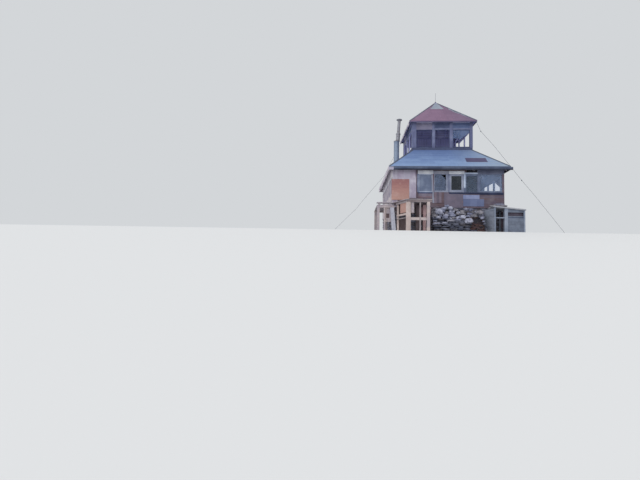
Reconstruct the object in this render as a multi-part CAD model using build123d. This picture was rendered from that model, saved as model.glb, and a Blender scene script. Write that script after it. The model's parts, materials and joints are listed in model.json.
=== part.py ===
"""Fire lookout: a square timber cabin on dry stone, with an open-windowed cupola above its hipped roof."""

import math
import os

from build123d import *

# All sizes in millimetres, ground at zero, front towards -Y, right towards +X

# Plan of the cabin and the cupola
cabin_side = 7320.0
wall_thick = 80.0
cupola_side = 4240.0
cupola_wall_thick = 80.0
cabin_half = cabin_side / 2
cabin_inner = cabin_half - wall_thick
cupola_half = cupola_side / 2
cupola_inner = cupola_half - cupola_wall_thick

# Stone base
foundation_top = 1750.0
stone_inset = 40.0
stone_thick = 460.0
stone_outer = cabin_half - stone_inset
stone_inner = stone_outer - stone_thick
rubble_top = 1500.0
rubble_shoulder = 560.0
rubble_out = 1080.0
rubble_short = 230.0

# Cabin floor
floor_joist_deep = 270.0
floor_board = 50.0
floor_joist_wide = 50.0
floor_joist_count = 12
floor_low = foundation_top + floor_joist_deep
floor_top = floor_low + floor_board

# Cabin windows, posts given as shares of half the wall's length
sill_height = 1040.0
window_height = 1240.0
sill_level = foundation_top + sill_height
head_level = sill_level + window_height
front_post_wide = 110.0
front_post_shares = [-0.546, -0.262, 0.019, 0.298, 0.548, 0.978]
side_window_shares = [-0.7117, -0.3934, -0.1216, 0.1216, 0.3934, 0.7117]
side_window_widths = [1050.0, 940.0, 770.0, 770.0, 940.0, 1050.0]
side_head_drop = 150.0
frame_deep = 60.0
frame_back = 10.0
side_stile = 45.0
glass_thick = 4.0
broken_wide = 300.0
broken_high = 430.0

# Stiles and rails of the front sashes: left, right, bottom, top
front_sashes = [
    (55.0, 60.0, 60.0, 60.0),
    (50.0, 145.0, 115.0, 40.0),
    (105.0, 150.0, 160.0, 135.0),
    (65.0, 55.0, 45.0, 130.0),
    (45.0, 40.0, 110.0, 40.0),
]

# Lower roof
lower_eave_out = 304.0
lower_eave_above_head = 456.0
lower_rise = 0.8975
lower_panel_drop = 35.0
lower_rafter_drop = 150.0
lower_seat = 46.0
rafter_wide = 45.0
hip_wide = 50.0
rafter_gap = 6.0
lower_rafter_count = 12
lower_eave = cabin_half + lower_eave_out
lower_eave_top = head_level + lower_eave_above_head
lower_wall_drop = lower_panel_drop + lower_rafter_drop - lower_seat
cabin_wall_top = lower_eave_top + lower_eave_out * lower_rise - lower_wall_drop
roof_meet = lower_eave_top + (lower_eave - cupola_half) * lower_rise

# Floor below the cupola
ceiling_joist_deep = 150.0
ceiling_joist_wide = 50.0
cupola_floor_below_roof = 700.0
cupola_floor_thick = 40.0
curb_thick = 100.0
joist_top = cabin_wall_top + ceiling_joist_deep
cupola_base = roof_meet - cupola_floor_below_roof
curb_top = cupola_base - cupola_floor_thick
ceiling_joist_shares = [-1.51, -1.28, -0.976, -0.65, -0.325, 0.035, 0.325, 0.65, 0.976, 1.28, 1.51]

# Cupola windows
cupola_sill_height = 209.0
cupola_window_height = 1290.0
header_gap = 90.0
header_high = 400.0
header_recess = 22.0
cupola_bays = [(-0.8656, -0.3703), (-0.2123, 0.2123), (0.3703, 0.8656)]
cupola_front_bays = [(-0.8656, -0.3302), (-0.2476, 0.2476), (0.3439, 0.9127)]
cupola_right_bays = [(-0.8019, -0.1892), (-0.1509, 0.458), (0.5, 0.9198)]
cupola_stile = 40.0
cupola_frame_deep = 50.0
cupola_sill = roof_meet + cupola_sill_height
cupola_head = cupola_sill + cupola_window_height
header_low = cupola_head + header_gap

# Upper roof
upper_eave_out = 248.0
upper_eave_above_head = 575.0
upper_rise = 0.995
upper_panel_drop = 30.0
upper_rafter_drop = 90.0
upper_seat = 28.0
upper_rafter_count = 7
peak_gap = 90.0
upper_eave = cupola_half + upper_eave_out
upper_eave_top = cupola_head + upper_eave_above_head
apex_level = upper_eave_top + upper_eave * upper_rise
upper_wall_drop = upper_panel_drop + upper_rafter_drop - upper_seat
cupola_wall_top = upper_eave_top + upper_eave_out * upper_rise - upper_wall_drop

# Boards and metal at the roof edges
fascia_thick = 25.0
lower_fascia_deep = 205.0
fascia_past = 150.0
upper_fascia_deep = 85.0
cap_wide = 160.0
cap_thick = 6.0
flashing_thick = 4.0
flashing_high = 170.0
flashing_lift = 2.0

# Sheets laid on the roofs
patch_left = 1280.0
patch_wide = 1380.0
patch_low_share = 0.88
patch_high_share = 0.7727
patch_thick = 5.0
apex_patch_out = 895.0
apex_patch_left = 530.0
apex_patch_right = 650.0
apex_patch_thick = 4.0
rod_base_radius = 60.0
rod_base_high = 60.0
rod_radius = 9.0
rod_high = 720.0

# Panels and sheets nailed over the front wall
skin = 18.0
sheet_thin = 6.0
nail_gap = 10.0
panel_left_inset = 340.0
panel_wide = 1215.0
panel_high = 1920.0
panel_top_above_head = 270.0
plywood_left_inset = -80.0
plywood_wide = 1180.0
plywood_high = 1420.0
plywood_drop = 370.0
trim_side = 45.0
post_below = [0.0, 735.0, 0.0, -300.0, 40.0]
head_board_heights = [240.0, 210.0, 210.0, 100.0]
corner_board_wide = 190.0
missing_board_low = 110.0
missing_board_high = 180.0
missing_board_in = 125.0
skirt_thick = 25.0
skirt_high = 500.0
side_board_back = 20.0
brown_high = 390.0
red_panel_reach = 700.0
red_panel_high = 730.0
sheet_short = 110.0
blue_low_high = 590.0
purple_below_sill = 85.0
blue_below_sill = 170.0
blue_shift = 15.0
blue_past = 335.0
blue_above_stone = 105.0

# Chimney
chimney_out = 930.0
chimney_wide_radius = 196.0
chimney_narrow_radius = 111.0
chimney_wall = 6.0
chimney_below_meet = 1240.0
chimney_joint_above = 1100.0
chimney_upper_length = 1640.0
chimney_shift = 92.0
chimney_lean = 3.6
chimney_sleeve_high = 600.0
chimney_sleeve_lip = 36.0
reducer_high = 60.0
reducer_lip = 10.0
collar_side = 620.0
collar_thick = 4.0
band_height = 540.0
band_high = 80.0
band_lip = 24.0
cap_lip = 100.0
cap_rim_high = 40.0
cap_cone_high = 70.0
cap_tip_radius = 60.0

# Landing before the panelled doorway
landing_left_inset = 710.0
landing_wide = 1600.0
landing_out = 1490.0
landing_slant = 690.0
landing_board = 50.0
landing_beam_deep = 140.0
landing_beam_wide = 90.0
landing_beam_back = 60.0
landing_post = 220.0
landing_side_post = 190.0
landing_thin_post = 90.0
landing_rear_post = 130.0
landing_rail_low = 720.0
landing_rail_high = 180.0
landing_rail_thick = 40.0
slant_rail_low = 1080.0
slant_rail_high = 120.0
slant_sheet_low = 1250.0

# Platform beside the left wall
platform_wide = 1060.0
platform_long = 2500.0
platform_ahead = 140.0
platform_beam_past = 135.0
platform_top = 1870.0
platform_board = 60.0
platform_beam_deep = 120.0
platform_beam_wide = 90.0
platform_post = 170.0
leaning_post = 255.0
leaning_foot = 100.0
leaning_run = 150.0
step_thick = 45.0
step_deep = 420.0
step_block = 120.0
hatch_post = 100.0
hatch_post_out = 490.0
hatch_wide = 560.0
hatch_low = 730.0
hatch_board = 25.0
hatch_hole_left = 173.0
hatch_hole_wide = 203.0
hatch_hole_low = 270.0
hatch_hole_high = 300.0

# Timber bin at the right corner
bin_inset = 1050.0
bin_wide = 1890.0
bin_out = 1080.0
bin_top = 1740.0
bin_fall = 200.0
bin_post = 90.0
bin_main_post = 200.0
bin_main_share = 0.388
bin_lid_thick = 80.0
bin_lid_over = 50.0
bin_board = 25.0
bin_panel_back = 20.0
bin_panel_high = 1110.0
bin_back_run = 200.0
bin_slot = 220.0
bin_rail_level = 950.0
bin_rail_high = 70.0
bin_side_run = 260.0
bin_side_high = 1600.0

# Guy cables
cable_radius = 8.0
knob_radius = 38.0
anchor_reach = 8150.0
anchor_side = 420.0
anchor_high = 260.0
eye_high = 60.0
eye_radius = 20.0
plate_side = 70.0
plate_thick = 12.0

# The whole stands so that the middle of its outline is at the origin
landing_front = -cabin_half - landing_out
plan_shift = -(landing_front + lower_eave) / 2

os.makedirs("parts", exist_ok=True)


def block(x0, x1, y0, y1, z0, z1):
    """A box between two corners."""
    middle = ((x0 + x1) / 2, (y0 + y1) / 2, (z0 + z1) / 2)
    return Pos(*middle) * Box(abs(x1 - x0), abs(y1 - y0), abs(z1 - z0))


def group(shapes):
    """Solids that share one node and don't touch."""
    return Compound([solid for shape in shapes for solid in shape.solids()])


def fuse_all(shapes):
    """One shape from several that touch."""
    whole = shapes[0]
    for piece in shapes[1:]:
        whole = whole + piece
    return whole


def save(shape, node):
    """Writes one node's solids."""
    shape = Pos(0, plan_shift, 0) * shape
    shape.label = node
    export_step(shape, "parts/" + node + ".step")


def side(shape, turns):
    """Turns a front piece by quarter turns to another side of the building."""
    return Rot(0, 0, 90 * turns) * shape


def prism_yz(points, x0, x1):
    """A prism along X from a polygon of Y and Z points."""
    wire = Polyline(*[(x0, y, z) for y, z in points], close=True)
    return extrude(make_face(wire.edges()), amount=x1 - x0, dir=(1, 0, 0))


def prism_xy(points, z0, z1):
    """A prism along Z from a polygon of X and Y points."""
    wire = Polyline(*[(x, y, z0) for x, y in points], close=True)
    return extrude(make_face(wire.edges()), amount=z1 - z0, dir=(0, 0, 1))


def prism_xz(points, y0, y1):
    """A prism along Y from a polygon of X and Z points."""
    wire = Polyline(*[(x, y0, z) for x, z in points], close=True)
    return extrude(make_face(wire.edges()), amount=y1 - y0, dir=(0, 1, 0))


def wedge(reach, back=0.0):
    """The quarter of the plan that belongs to the front side, set back from the hips."""
    tip = -back * math.sqrt(2)
    points = [(0, tip), (-reach, tip - reach), (reach, tip - reach)]
    return prism_xy(points, -2 * reach, 6 * reach)


def roof_profile(outer, inner, eave_level, rise, top_drop, bottom_drop):
    """The cut of a sloping layer, between two drops below the roof's face."""
    inner_level = eave_level + (outer - inner) * rise
    return [
        (-outer, eave_level - top_drop),
        (-inner, inner_level - top_drop),
        (-inner, inner_level - bottom_drop),
        (-outer, eave_level - bottom_drop),
    ]


def roof_panel(outer, inner, eave_level, rise, top_drop, bottom_drop):
    """One sloping layer with mitred hips, on the front side."""
    profile = roof_profile(outer, inner, eave_level, rise, top_drop, bottom_drop)
    return prism_yz(profile, -outer, outer) & wedge(outer)


def hip_strip(outer, wide):
    """An upright slice along the front right hip."""
    return Rot(0, 0, -45) * block(0, outer * 1.5, -wide / 2, wide / 2, -outer, 6 * outer)


def rafter_set(outer, inner, eave_level, rise, panel_drop, rafter_drop, places, walls):
    """Common rafters of the front side and the hip rafter at its right, notched over the walls."""
    found = []
    keep = wedge(outer, hip_wide / 2 + rafter_gap)
    deep = panel_drop + rafter_drop
    for place in places:
        profile = roof_profile(outer, inner, eave_level, rise, panel_drop, deep)
        bar = prism_yz(profile, place - rafter_wide / 2, place + rafter_wide / 2)
        found += (bar & keep).solids()
    layer = roof_panel(outer, inner, eave_level, rise, panel_drop, deep)
    found.append((layer + side(layer, 1)) & hip_strip(outer, hip_wide))
    return [bar - walls for bar in found]


def hip_cap(outer, inner, eave_level, rise):
    """A folded cap on the front right hip."""
    layer = roof_panel(outer, inner, eave_level, rise, -cap_thick, 0)
    return (layer + side(layer, 1)) & hip_strip(outer, cap_wide)


def roof_sheet(outline, eave_out, eave_level, rise, thick):
    """A flat sheet on the front roof face, from an outline of X and distance-from-middle points."""
    reach = eave_out + 10
    profile = roof_profile(reach, 0, eave_level - 10 * rise, rise, -thick, 0)
    column = prism_xy([(x, -out) for x, out in outline], eave_level - reach, eave_level + 2 * reach)
    return prism_yz(profile, -reach, reach) & column


def ring_wall(outer, inner, z0, z1):
    """A square ring of upright walls."""
    return block(-outer, outer, -outer, outer, z0, z1) - block(-inner, inner, -inner, inner, z0 - 1, z1 + 1)


def wall_with_openings(half_length, face, thick, z0, z1, openings):
    """A wall on the front side with openings cut through it."""
    wall = block(-half_length, half_length, face, face + thick, z0, z1)
    for x0, x1, low, high in openings:
        wall -= block(x0, x1, face - 1, face + thick + 1, low, high)
    return wall


def sash(opening, rails, face, back, deep):
    """A sash frame inside an opening, with its left, right, bottom and top widths."""
    x0, x1, low, high = opening
    left, right, bottom, top = rails
    outer = block(x0, x1, face + back, face + back + deep, low, high)
    inner = block(x0 + left, x1 - right, face + back - 1, face + back + deep + 1, low + bottom, high - top)
    return outer - inner


def sash_pane(opening, rails, face, back, deep):
    """The glass pane inside a sash."""
    x0, x1, low, high = opening
    left, right, bottom, top = rails
    near = face + back + deep / 2 - glass_thick / 2
    return block(x0 + left, x1 - right, near, near + glass_thick, low + bottom, high - top)


def post(x, y, z0, z1, size, angle=0.0):
    """A square upright post."""
    return Pos(x, y, (z0 + z1) / 2) * Rot(0, 0, angle) * Box(size, size, z1 - z0)


# Stone walls under the cabin, and the loose stone banked against the front
save(ring_wall(stone_outer, stone_inner, 0, foundation_top), "stone_foundation")
bin_left = cabin_half - bin_inset
landing_left = -cabin_half + landing_left_inset
landing_right = landing_left + landing_wide
rubble_profile = [
    (-stone_outer, 0),
    (-stone_outer, rubble_top),
    (-stone_outer - rubble_out * 0.3, rubble_top * 0.94),
    (-stone_outer - rubble_out * 0.85, rubble_shoulder),
    (-stone_outer - rubble_out, 0),
]
rubble_left = landing_right + 250
save(prism_yz(rubble_profile, rubble_left, bin_left - bin_side_run - rubble_short), "front_rubble")

# Cabin floor on its joists
joist_reach = cabin_inner - floor_joist_wide
floor_joists = []
for index in range(floor_joist_count):
    place = -joist_reach + 2 * joist_reach * index / (floor_joist_count - 1)
    edges = (place - floor_joist_wide / 2, place + floor_joist_wide / 2)
    floor_joists.append(block(*edges, -cabin_inner, cabin_inner, foundation_top, floor_low))
save(group(floor_joists), "floor_joists")
save(block(-cabin_inner, cabin_inner, -cabin_inner, cabin_inner, floor_low, floor_top), "cabin_floor")

# Openings of the cabin walls
front_posts = [share * cabin_half for share in front_post_shares]
half_post = front_post_wide / 2
front_openings = []
for left, right in zip(front_posts[:-1], front_posts[1:]):
    front_openings.append((left + half_post, right - half_post, sill_level, head_level))
side_head = head_level - side_head_drop
side_openings = []
for share, wide in zip(side_window_shares, side_window_widths):
    middle = share * cabin_half
    side_openings.append((middle - wide / 2, middle + wide / 2, sill_level, side_head))
gap_low = head_level + missing_board_low
missing_board = (front_posts[3] + missing_board_in, front_openings[3][1], gap_low, gap_low + missing_board_high)

# Cabin walls, the side ones between the front and the back
front_face = -cabin_half
level_pair = (foundation_top, cabin_wall_top)
front_cuts = front_openings + [missing_board]
save(wall_with_openings(cabin_half, front_face, wall_thick, *level_pair, front_cuts), "front_wall")
side_wall = wall_with_openings(cabin_inner, front_face, wall_thick, *level_pair, side_openings)
back_wall = wall_with_openings(cabin_half, front_face, wall_thick, *level_pair, side_openings)
save(side(side_wall, 1), "right_wall")
save(side(back_wall, 2), "back_wall")
save(side(side_wall, 3), "left_wall")

# Sashes and glass of the cabin
place_in_wall = (front_face, frame_back, frame_deep)
side_rails = (side_stile, side_stile, side_stile, side_stile)
frames = [sash(hole, rails, *place_in_wall) for hole, rails in zip(front_openings, front_sashes)]
for turns in (1, 2):
    frames += [side(sash(hole, side_rails, *place_in_wall), turns) for hole in side_openings]
save(group(frames), "cabin_window_frames")
glass = [sash_pane(hole, rails, *place_in_wall) for hole, rails in zip(front_openings, front_sashes)]
broken = front_openings[1]
pane_x = broken[1] - front_sashes[1][1]
pane_z = broken[3] - front_sashes[1][3]
broken_shape = [(pane_x - broken_wide, pane_z + 1), (pane_x - broken_wide * 0.27, pane_z - broken_high * 0.49)]
broken_shape += [(pane_x + 1, pane_z - broken_high), (pane_x + 1, pane_z + 1)]
broken_corner = prism_xz(broken_shape, front_face - 1, front_face + wall_thick)
save(group([glass[1] - broken_corner, glass[3], glass[4]]), "front_glass")
save(group([side(sash_pane(hole, side_rails, *place_in_wall), 2) for hole in side_openings]), "back_glass")

# Boards that close the first front window, the left wall's windows and the rear windows of the right wall
board_set = []
first = front_openings[0]
first_rails = front_sashes[0]
board_face = front_face + frame_back + frame_deep - skin
board_set.append(
    block(
        first[0] + first_rails[0],
        first[1] - first_rails[1],
        board_face - skin,
        board_face,
        first[2] + first_rails[2],
        first[3] - first_rails[3] - nail_gap,
    )
)
hidden_face = front_face + side_board_back
for x0, x1, low, high in side_openings:
    board_set.append(side(block(x0, x1, hidden_face, hidden_face + skirt_thick, low, high), 3))
for x0, x1, low, high in side_openings[3:]:
    edges = (x0 + side_stile, x1 - side_stile, hidden_face, hidden_face + skin)
    board_set.append(side(block(*edges, low + side_stile, high - side_stile), 1))
save(group(board_set), "window_boards")

# Panel over the doorway and the plywood nailed across it
panel_left = -cabin_half + panel_left_inset
panel_top = head_level + panel_top_above_head
panel_edges = (panel_left, panel_left + panel_wide)
save(block(*panel_edges, front_face - skin, front_face, panel_top - panel_high, panel_top), "doorway_panel")
plywood_left = -cabin_half + plywood_left_inset
plywood_top = head_level - plywood_drop
plywood_edges = (plywood_left, plywood_left + plywood_wide)
plywood_low = plywood_top - plywood_high
front_plywood = block(*plywood_edges, front_face - 2 * skin, front_face - skin, plywood_low, plywood_top)

# Trim boards over and between the front windows
trim = []
nailed = (front_face - skin, front_face)
for index, high in enumerate(head_board_heights):
    x1 = front_posts[index + 1] - half_post if index % 2 else front_posts[index + 1] - nail_gap
    trim.append(block(front_posts[index], x1, *nailed, head_level, head_level + high))
corner_board = (panel_left - nail_gap - corner_board_wide, panel_left - nail_gap)
trim.append(block(*corner_board, *nailed, plywood_top + nail_gap, panel_top))
for centre, below in zip(front_posts[:-1], post_below):
    low = sill_level - below
    edges = (centre - trim_side, centre + trim_side)
    trim.append(block(*edges, *nailed, low, head_level - nail_gap))
save(group(trim), "window_trim")

# Boards below the windows, and the skirt boards over the stone beside the landing
skirt_right = rubble_left - nail_gap
red_left = front_posts[1] + trim_side + nail_gap
red_right = front_posts[1] + red_panel_reach
brown_edges = (front_openings[0][0], front_openings[0][1] - nail_gap)
sill_set = [
    block(*brown_edges, *nailed, sill_level - brown_high, sill_level - nail_gap),
    block(red_left, red_right, *nailed, sill_level - red_panel_high, sill_level),
]
skirt_low = foundation_top - skirt_high
sill_set.append(block(-stone_outer, skirt_right, -stone_outer - skirt_thick, -stone_outer, skirt_low, foundation_top))
save(group(sill_set), "sill_boards")

# Metal sheets nailed below the windows
purple_left = red_right + nail_gap
purple_right = front_posts[3] - sheet_short
blue_split = foundation_top + blue_low_high
sheet_face = (front_face - sheet_thin, front_face)
blue_top = sill_level - blue_below_sill
low_edges = (purple_right + blue_shift, front_posts[4] + blue_past)
sheets = [
    block(purple_left, purple_right, *sheet_face, foundation_top - nail_gap, sill_level - purple_below_sill),
    block(purple_right + nail_gap, front_posts[4] + trim_side, *sheet_face, blue_split + nail_gap, blue_top),
    block(*low_edges, *sheet_face, foundation_top + blue_above_stone, blue_split),
]
save(group(sheets), "metal_sheets")

# Lower roof: rafters notched over the walls, four panels with mitred hips, edge boards
cabin_walls = ring_wall(cabin_half, cabin_inner, foundation_top, cabin_wall_top)
lower_pitch = 2 * cabin_half / lower_rafter_count
lower_places = [(index + 0.5) * lower_pitch - cabin_half for index in range(lower_rafter_count)]
line_out = lower_eave - fascia_thick
line_level = lower_eave_top + fascia_thick * lower_rise
lower_drops = (lower_panel_drop, lower_rafter_drop)
lower_front = rafter_set(line_out, cupola_half, line_level, lower_rise, *lower_drops, lower_places, cabin_walls)
lower_rafters = [side(bar, turns) for turns in range(4) for bar in lower_front]
save(group(lower_rafters), "lower_rafters")
chimney_x = -cupola_half - chimney_out
chimney_y = -lower_pitch
chimney_hole = Pos(chimney_x, chimney_y, roof_meet) * Cylinder(chimney_wide_radius, 2 * cupola_side)
names = ["front", "right", "back", "left"]
lower_panel = roof_panel(lower_eave, cupola_half, lower_eave_top, lower_rise, 0, lower_panel_drop)
for turns, name in enumerate(names):
    panel = side(lower_panel, turns)
    if name == "left":
        panel = panel - chimney_hole
    save(panel, "lower_roof_" + name)


def fascia_run(eave, level, deep, past=0.0):
    """Edge boards along the front, right and back eaves; the left ones are gone."""
    boards = []
    for turns in range(3):
        reach = eave if turns != 1 else eave - fascia_thick
        end = reach + past if turns == 0 else reach
        board = block(-reach, end, -eave, -eave + fascia_thick, level - deep, level)
        boards.append(side(board, turns))
    return fuse_all(boards)


lower_fascia = fascia_run(lower_eave, lower_eave_top - lower_panel_drop, lower_fascia_deep, fascia_past)
upper_fascia = fascia_run(upper_eave, upper_eave_top - upper_panel_drop, upper_fascia_deep)
save(group([lower_fascia, upper_fascia]), "fascia_boards")

# Ceiling joists across the cabin, clipped under the roof and beside the rafters
lower_space = roof_panel(lower_eave, 0, lower_eave_top, lower_rise, lower_panel_drop, cabin_side)
attic = fuse_all([side(lower_space, turns) for turns in range(4)])
all_rafters = fuse_all(lower_rafters)
ceiling_joists = []
for share in ceiling_joist_shares:
    place = share * cupola_half
    edges = (place - ceiling_joist_wide / 2, place + ceiling_joist_wide / 2)
    joist = block(*edges, -cabin_half, cabin_half, cabin_wall_top, joist_top)
    ceiling_joists.append((joist & attic) - all_rafters)
save(group(ceiling_joists), "ceiling_joists")

# Cupola floor on its curb
curb = ring_wall(cupola_half, cupola_half - curb_thick, joist_top, curb_top)
cupola_floor = curb + block(-cupola_half, cupola_half, -cupola_half, cupola_half, curb_top, cupola_base)
save(cupola_floor, "cupola_floor")

# Cupola walls with three windows and three header panels each
def bay_openings(bays):
    """The window openings of one cupola wall, from shares of its half width."""
    return [(low * cupola_half, high * cupola_half, cupola_sill, cupola_head) for low, high in bays]


def cupola_wall(half_length, openings, missing=None):
    """One cupola wall on the front side; a missing header panel leaves its bay open up to the top."""
    levels = (cupola_base, cupola_wall_top)
    wall = wall_with_openings(half_length, -cupola_half, cupola_wall_thick, *levels, openings)
    for index, (x0, x1, _, _) in enumerate(openings):
        low, depth = header_low, header_recess
        if index == missing:
            low, depth = cupola_head - 1, cupola_wall_thick + 1
        wall -= block(x0, x1, -cupola_half - 1, -cupola_half + depth, low, header_low + header_high)
    return wall


cupola_openings = bay_openings(cupola_bays)
cupola_front_openings = bay_openings(cupola_front_bays)
cupola_right_openings = bay_openings(cupola_right_bays)
save(cupola_wall(cupola_half, cupola_front_openings), "cupola_front_wall")
save(side(cupola_wall(cupola_inner, cupola_right_openings, 2), 1), "cupola_right_wall")
save(side(cupola_wall(cupola_half, cupola_openings), 2), "cupola_back_wall")
save(side(cupola_wall(cupola_inner, cupola_openings), 3), "cupola_left_wall")
cupola_rails = (cupola_stile, cupola_stile, cupola_stile, cupola_stile)
cupola_sashes = []
for hole in cupola_front_openings:
    cupola_sashes.append(sash(hole, cupola_rails, -cupola_half, frame_back, cupola_frame_deep))
save(group(cupola_sashes), "cupola_window_frames")

# Flashing around the cupola's foot
flashing_out = cupola_half + flashing_thick
flashing_levels = (roof_meet + flashing_lift, roof_meet + flashing_high)
save(ring_wall(flashing_out, cupola_half, *flashing_levels), "cupola_flashing")

# Upper roof
cupola_walls = ring_wall(cupola_half, cupola_inner, cupola_base, cupola_wall_top)
upper_pitch = 2 * cupola_half / upper_rafter_count
upper_places = [(index - (upper_rafter_count - 1) / 2) * upper_pitch for index in range(upper_rafter_count)]
upper_front = rafter_set(
    upper_eave - fascia_thick,
    peak_gap,
    upper_eave_top + fascia_thick * upper_rise,
    upper_rise,
    upper_panel_drop,
    upper_rafter_drop,
    upper_places,
    cupola_walls,
)
save(group([side(bar, turns) for turns in range(4) for bar in upper_front]), "upper_rafters")
upper_panel = roof_panel(upper_eave, 0, upper_eave_top, upper_rise, 0, upper_panel_drop)
for turns, name in enumerate(names):
    save(side(upper_panel, turns), "upper_roof_" + name)

# Hip caps and roof sheets
lower_cap = hip_cap(lower_eave, cupola_half + flashing_thick, lower_eave_top, lower_rise)
upper_cap = hip_cap(upper_eave, rod_base_radius * 2, upper_eave_top, upper_rise)
save(group([side(cap, turns) for turns in range(4) for cap in (lower_cap, upper_cap)]), "hip_caps")
patch_low = lower_eave * patch_low_share
patch_high = lower_eave * patch_high_share
patch_right = patch_left + patch_wide
patch_outline = [(patch_left, patch_low), (patch_right, patch_low)]
patch_outline += [(patch_right, patch_high), (patch_left, patch_high)]
save(roof_sheet(patch_outline, lower_eave, lower_eave_top, lower_rise, patch_thick), "roof_patch")
apex_outline = [(-apex_patch_left, apex_patch_out), (apex_patch_right, apex_patch_out), (0, cap_wide)]
apex_sheet = roof_sheet(apex_outline, upper_eave, upper_eave_top, upper_rise, apex_patch_thick)
save(apex_sheet & wedge(upper_eave, cap_wide / 2 + 2), "apex_patch")

# Lightning rod on a cast foot that straddles the apex
rod_foot = Pos(0, 0, apex_level) * Cylinder(rod_base_radius, rod_base_high)
for turns in range(4):
    rod_foot -= side(roof_panel(upper_eave, 0, upper_eave_top, upper_rise, 0, upper_eave), turns)
rod_low = apex_level + rod_base_high / 2
rod = Pos(0, 0, rod_low + rod_high / 2) * Cylinder(rod_radius, rod_high)
save(rod_foot + rod, "lightning_rod")

# Chimney: wide pipe through the left roof, narrow leaning pipe and its cap
joint_level = roof_meet + chimney_joint_above
wide_low = roof_meet - chimney_below_meet
wide_high = joint_level - wide_low
wide_place = Pos(chimney_x, chimney_y, wide_low + wide_high / 2)
collar_out = lower_eave - (lower_eave + chimney_x)
collar_half = collar_side / 2
collar_run = collar_half / math.sqrt(1 + lower_rise**2)
collar_outline = [
    (-collar_half, collar_out + collar_run),
    (collar_half, collar_out + collar_run),
    (collar_half, collar_out - collar_run),
    (-collar_half, collar_out - collar_run),
]
collar = side(roof_sheet(collar_outline, lower_eave, lower_eave_top, lower_rise, collar_thick), 3)
lower_pipe = wide_place * Cylinder(chimney_wide_radius, wide_high) + Pos(0, chimney_y, 0) * collar
lower_pipe -= wide_place * Cylinder(chimney_wide_radius - chimney_wall, wide_high + 1)
save(lower_pipe, "chimney_lower_pipe")
sunk = reducer_high * 0.75
lean = Pos(chimney_x + chimney_shift, chimney_y, joint_level + reducer_high) * Rot(0, chimney_lean, 0)
narrow_middle = (chimney_upper_length - sunk) / 2
narrow = Pos(0, 0, narrow_middle) * Cylinder(chimney_narrow_radius, chimney_upper_length + sunk)
sleeve_middle = (chimney_sleeve_high - sunk) / 2
sleeve_radius = chimney_narrow_radius + chimney_sleeve_lip
sleeve = Pos(0, 0, sleeve_middle) * Cylinder(sleeve_radius, chimney_sleeve_high + sunk)
band = Pos(0, 0, band_height) * Cylinder(sleeve_radius + band_lip, band_high)
reducer_place = Pos(chimney_x, chimney_y, joint_level + reducer_high / 2)
reducer = reducer_place * Cylinder(chimney_wide_radius + reducer_lip, reducer_high)
upper_pipe = lean * (narrow + sleeve + band) + reducer
upper_pipe -= lean * Cylinder(chimney_narrow_radius - chimney_wall, 3 * chimney_upper_length)
save(upper_pipe, "chimney_upper_pipe")
rim_radius = chimney_narrow_radius + cap_lip
rim = Pos(0, 0, chimney_upper_length + cap_rim_high / 2) * Cylinder(rim_radius, cap_rim_high)
cone_middle = chimney_upper_length + cap_rim_high + cap_cone_high / 2
cone = Pos(0, 0, cone_middle) * Cone(rim_radius, cap_tip_radius, cap_cone_high)
save(lean * (rim + cone), "chimney_cap")

# Landing: boards with a slanted left edge on a frame of posts, beams and rails
slant_angle = math.degrees(math.atan2(landing_slant, landing_out))
landing_low = floor_top - landing_board
landing_outline = [
    (landing_left, landing_front),
    (landing_right, landing_front),
    (landing_right, front_face),
    (landing_left - landing_slant, front_face),
]
save(prism_xy(landing_outline, landing_low, floor_top), "landing_boards")
beam_low = landing_low - landing_beam_deep
beam_front = landing_front + landing_beam_back
beam_rear = beam_front + landing_beam_wide
post_line = landing_front + landing_post * 0.68
corner_x = landing_left + landing_post * 0.6
rear_line = front_face - landing_side_post / 2
right_post_x = landing_right - landing_post
slant_left = landing_left - landing_slant * (rear_line - landing_front) / landing_out
landing_pieces = [
    block(landing_left + landing_beam_back, landing_right, beam_front, beam_rear, beam_low, landing_low),
    block(slant_left, landing_right, front_face - landing_beam_wide, front_face, beam_low, landing_low),
    post(corner_x, post_line, 0, beam_low, landing_post, slant_angle),
    post(right_post_x, post_line, 0, beam_low, landing_side_post),
    post(landing_left + landing_wide * 0.545, post_line, 0, beam_low, landing_thin_post),
    post(landing_left + landing_wide * 0.574, rear_line, 0, beam_low, landing_side_post),
    post(right_post_x, rear_line, 0, beam_low, landing_side_post),
    post(slant_left + landing_side_post * 1.5, rear_line, 0, beam_low, landing_rear_post),
]
rail_edges = (landing_left + landing_post, right_post_x)
rail_top = landing_rail_low + landing_rail_high
rail_face = post_line - landing_rail_thick / 2
rail_back = rail_face + landing_rail_thick
landing_pieces.append(block(*rail_edges, rail_face, rail_back, landing_rail_low, rail_top))
half_rail = landing_rail_thick / 2
slant_rail_top = slant_rail_low + slant_rail_high
slant_rail = block(0, landing_out * 0.92, -half_rail, half_rail, slant_rail_low, slant_rail_top)
half_beam = landing_beam_wide / 2
slant_beam = block(0, landing_out * 0.96, -half_beam, half_beam, beam_low, landing_low)
slant_place = Pos(corner_x, post_line, 0) * Rot(0, 0, 90 + slant_angle)
landing_pieces += [slant_place * slant_rail, slant_place * slant_beam]
save(fuse_all(landing_pieces), "landing_frame")

# Plywood: the sheet across the doorway panel and the one hung in the landing's slanted side
side_sheet = block(landing_post * 0.55, landing_out * 0.62, -skin / 2, skin / 2, slant_sheet_low, beam_low)
save(group([front_plywood, slant_place * side_sheet - fuse_all(landing_pieces)]), "plywood_sheets")

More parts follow.
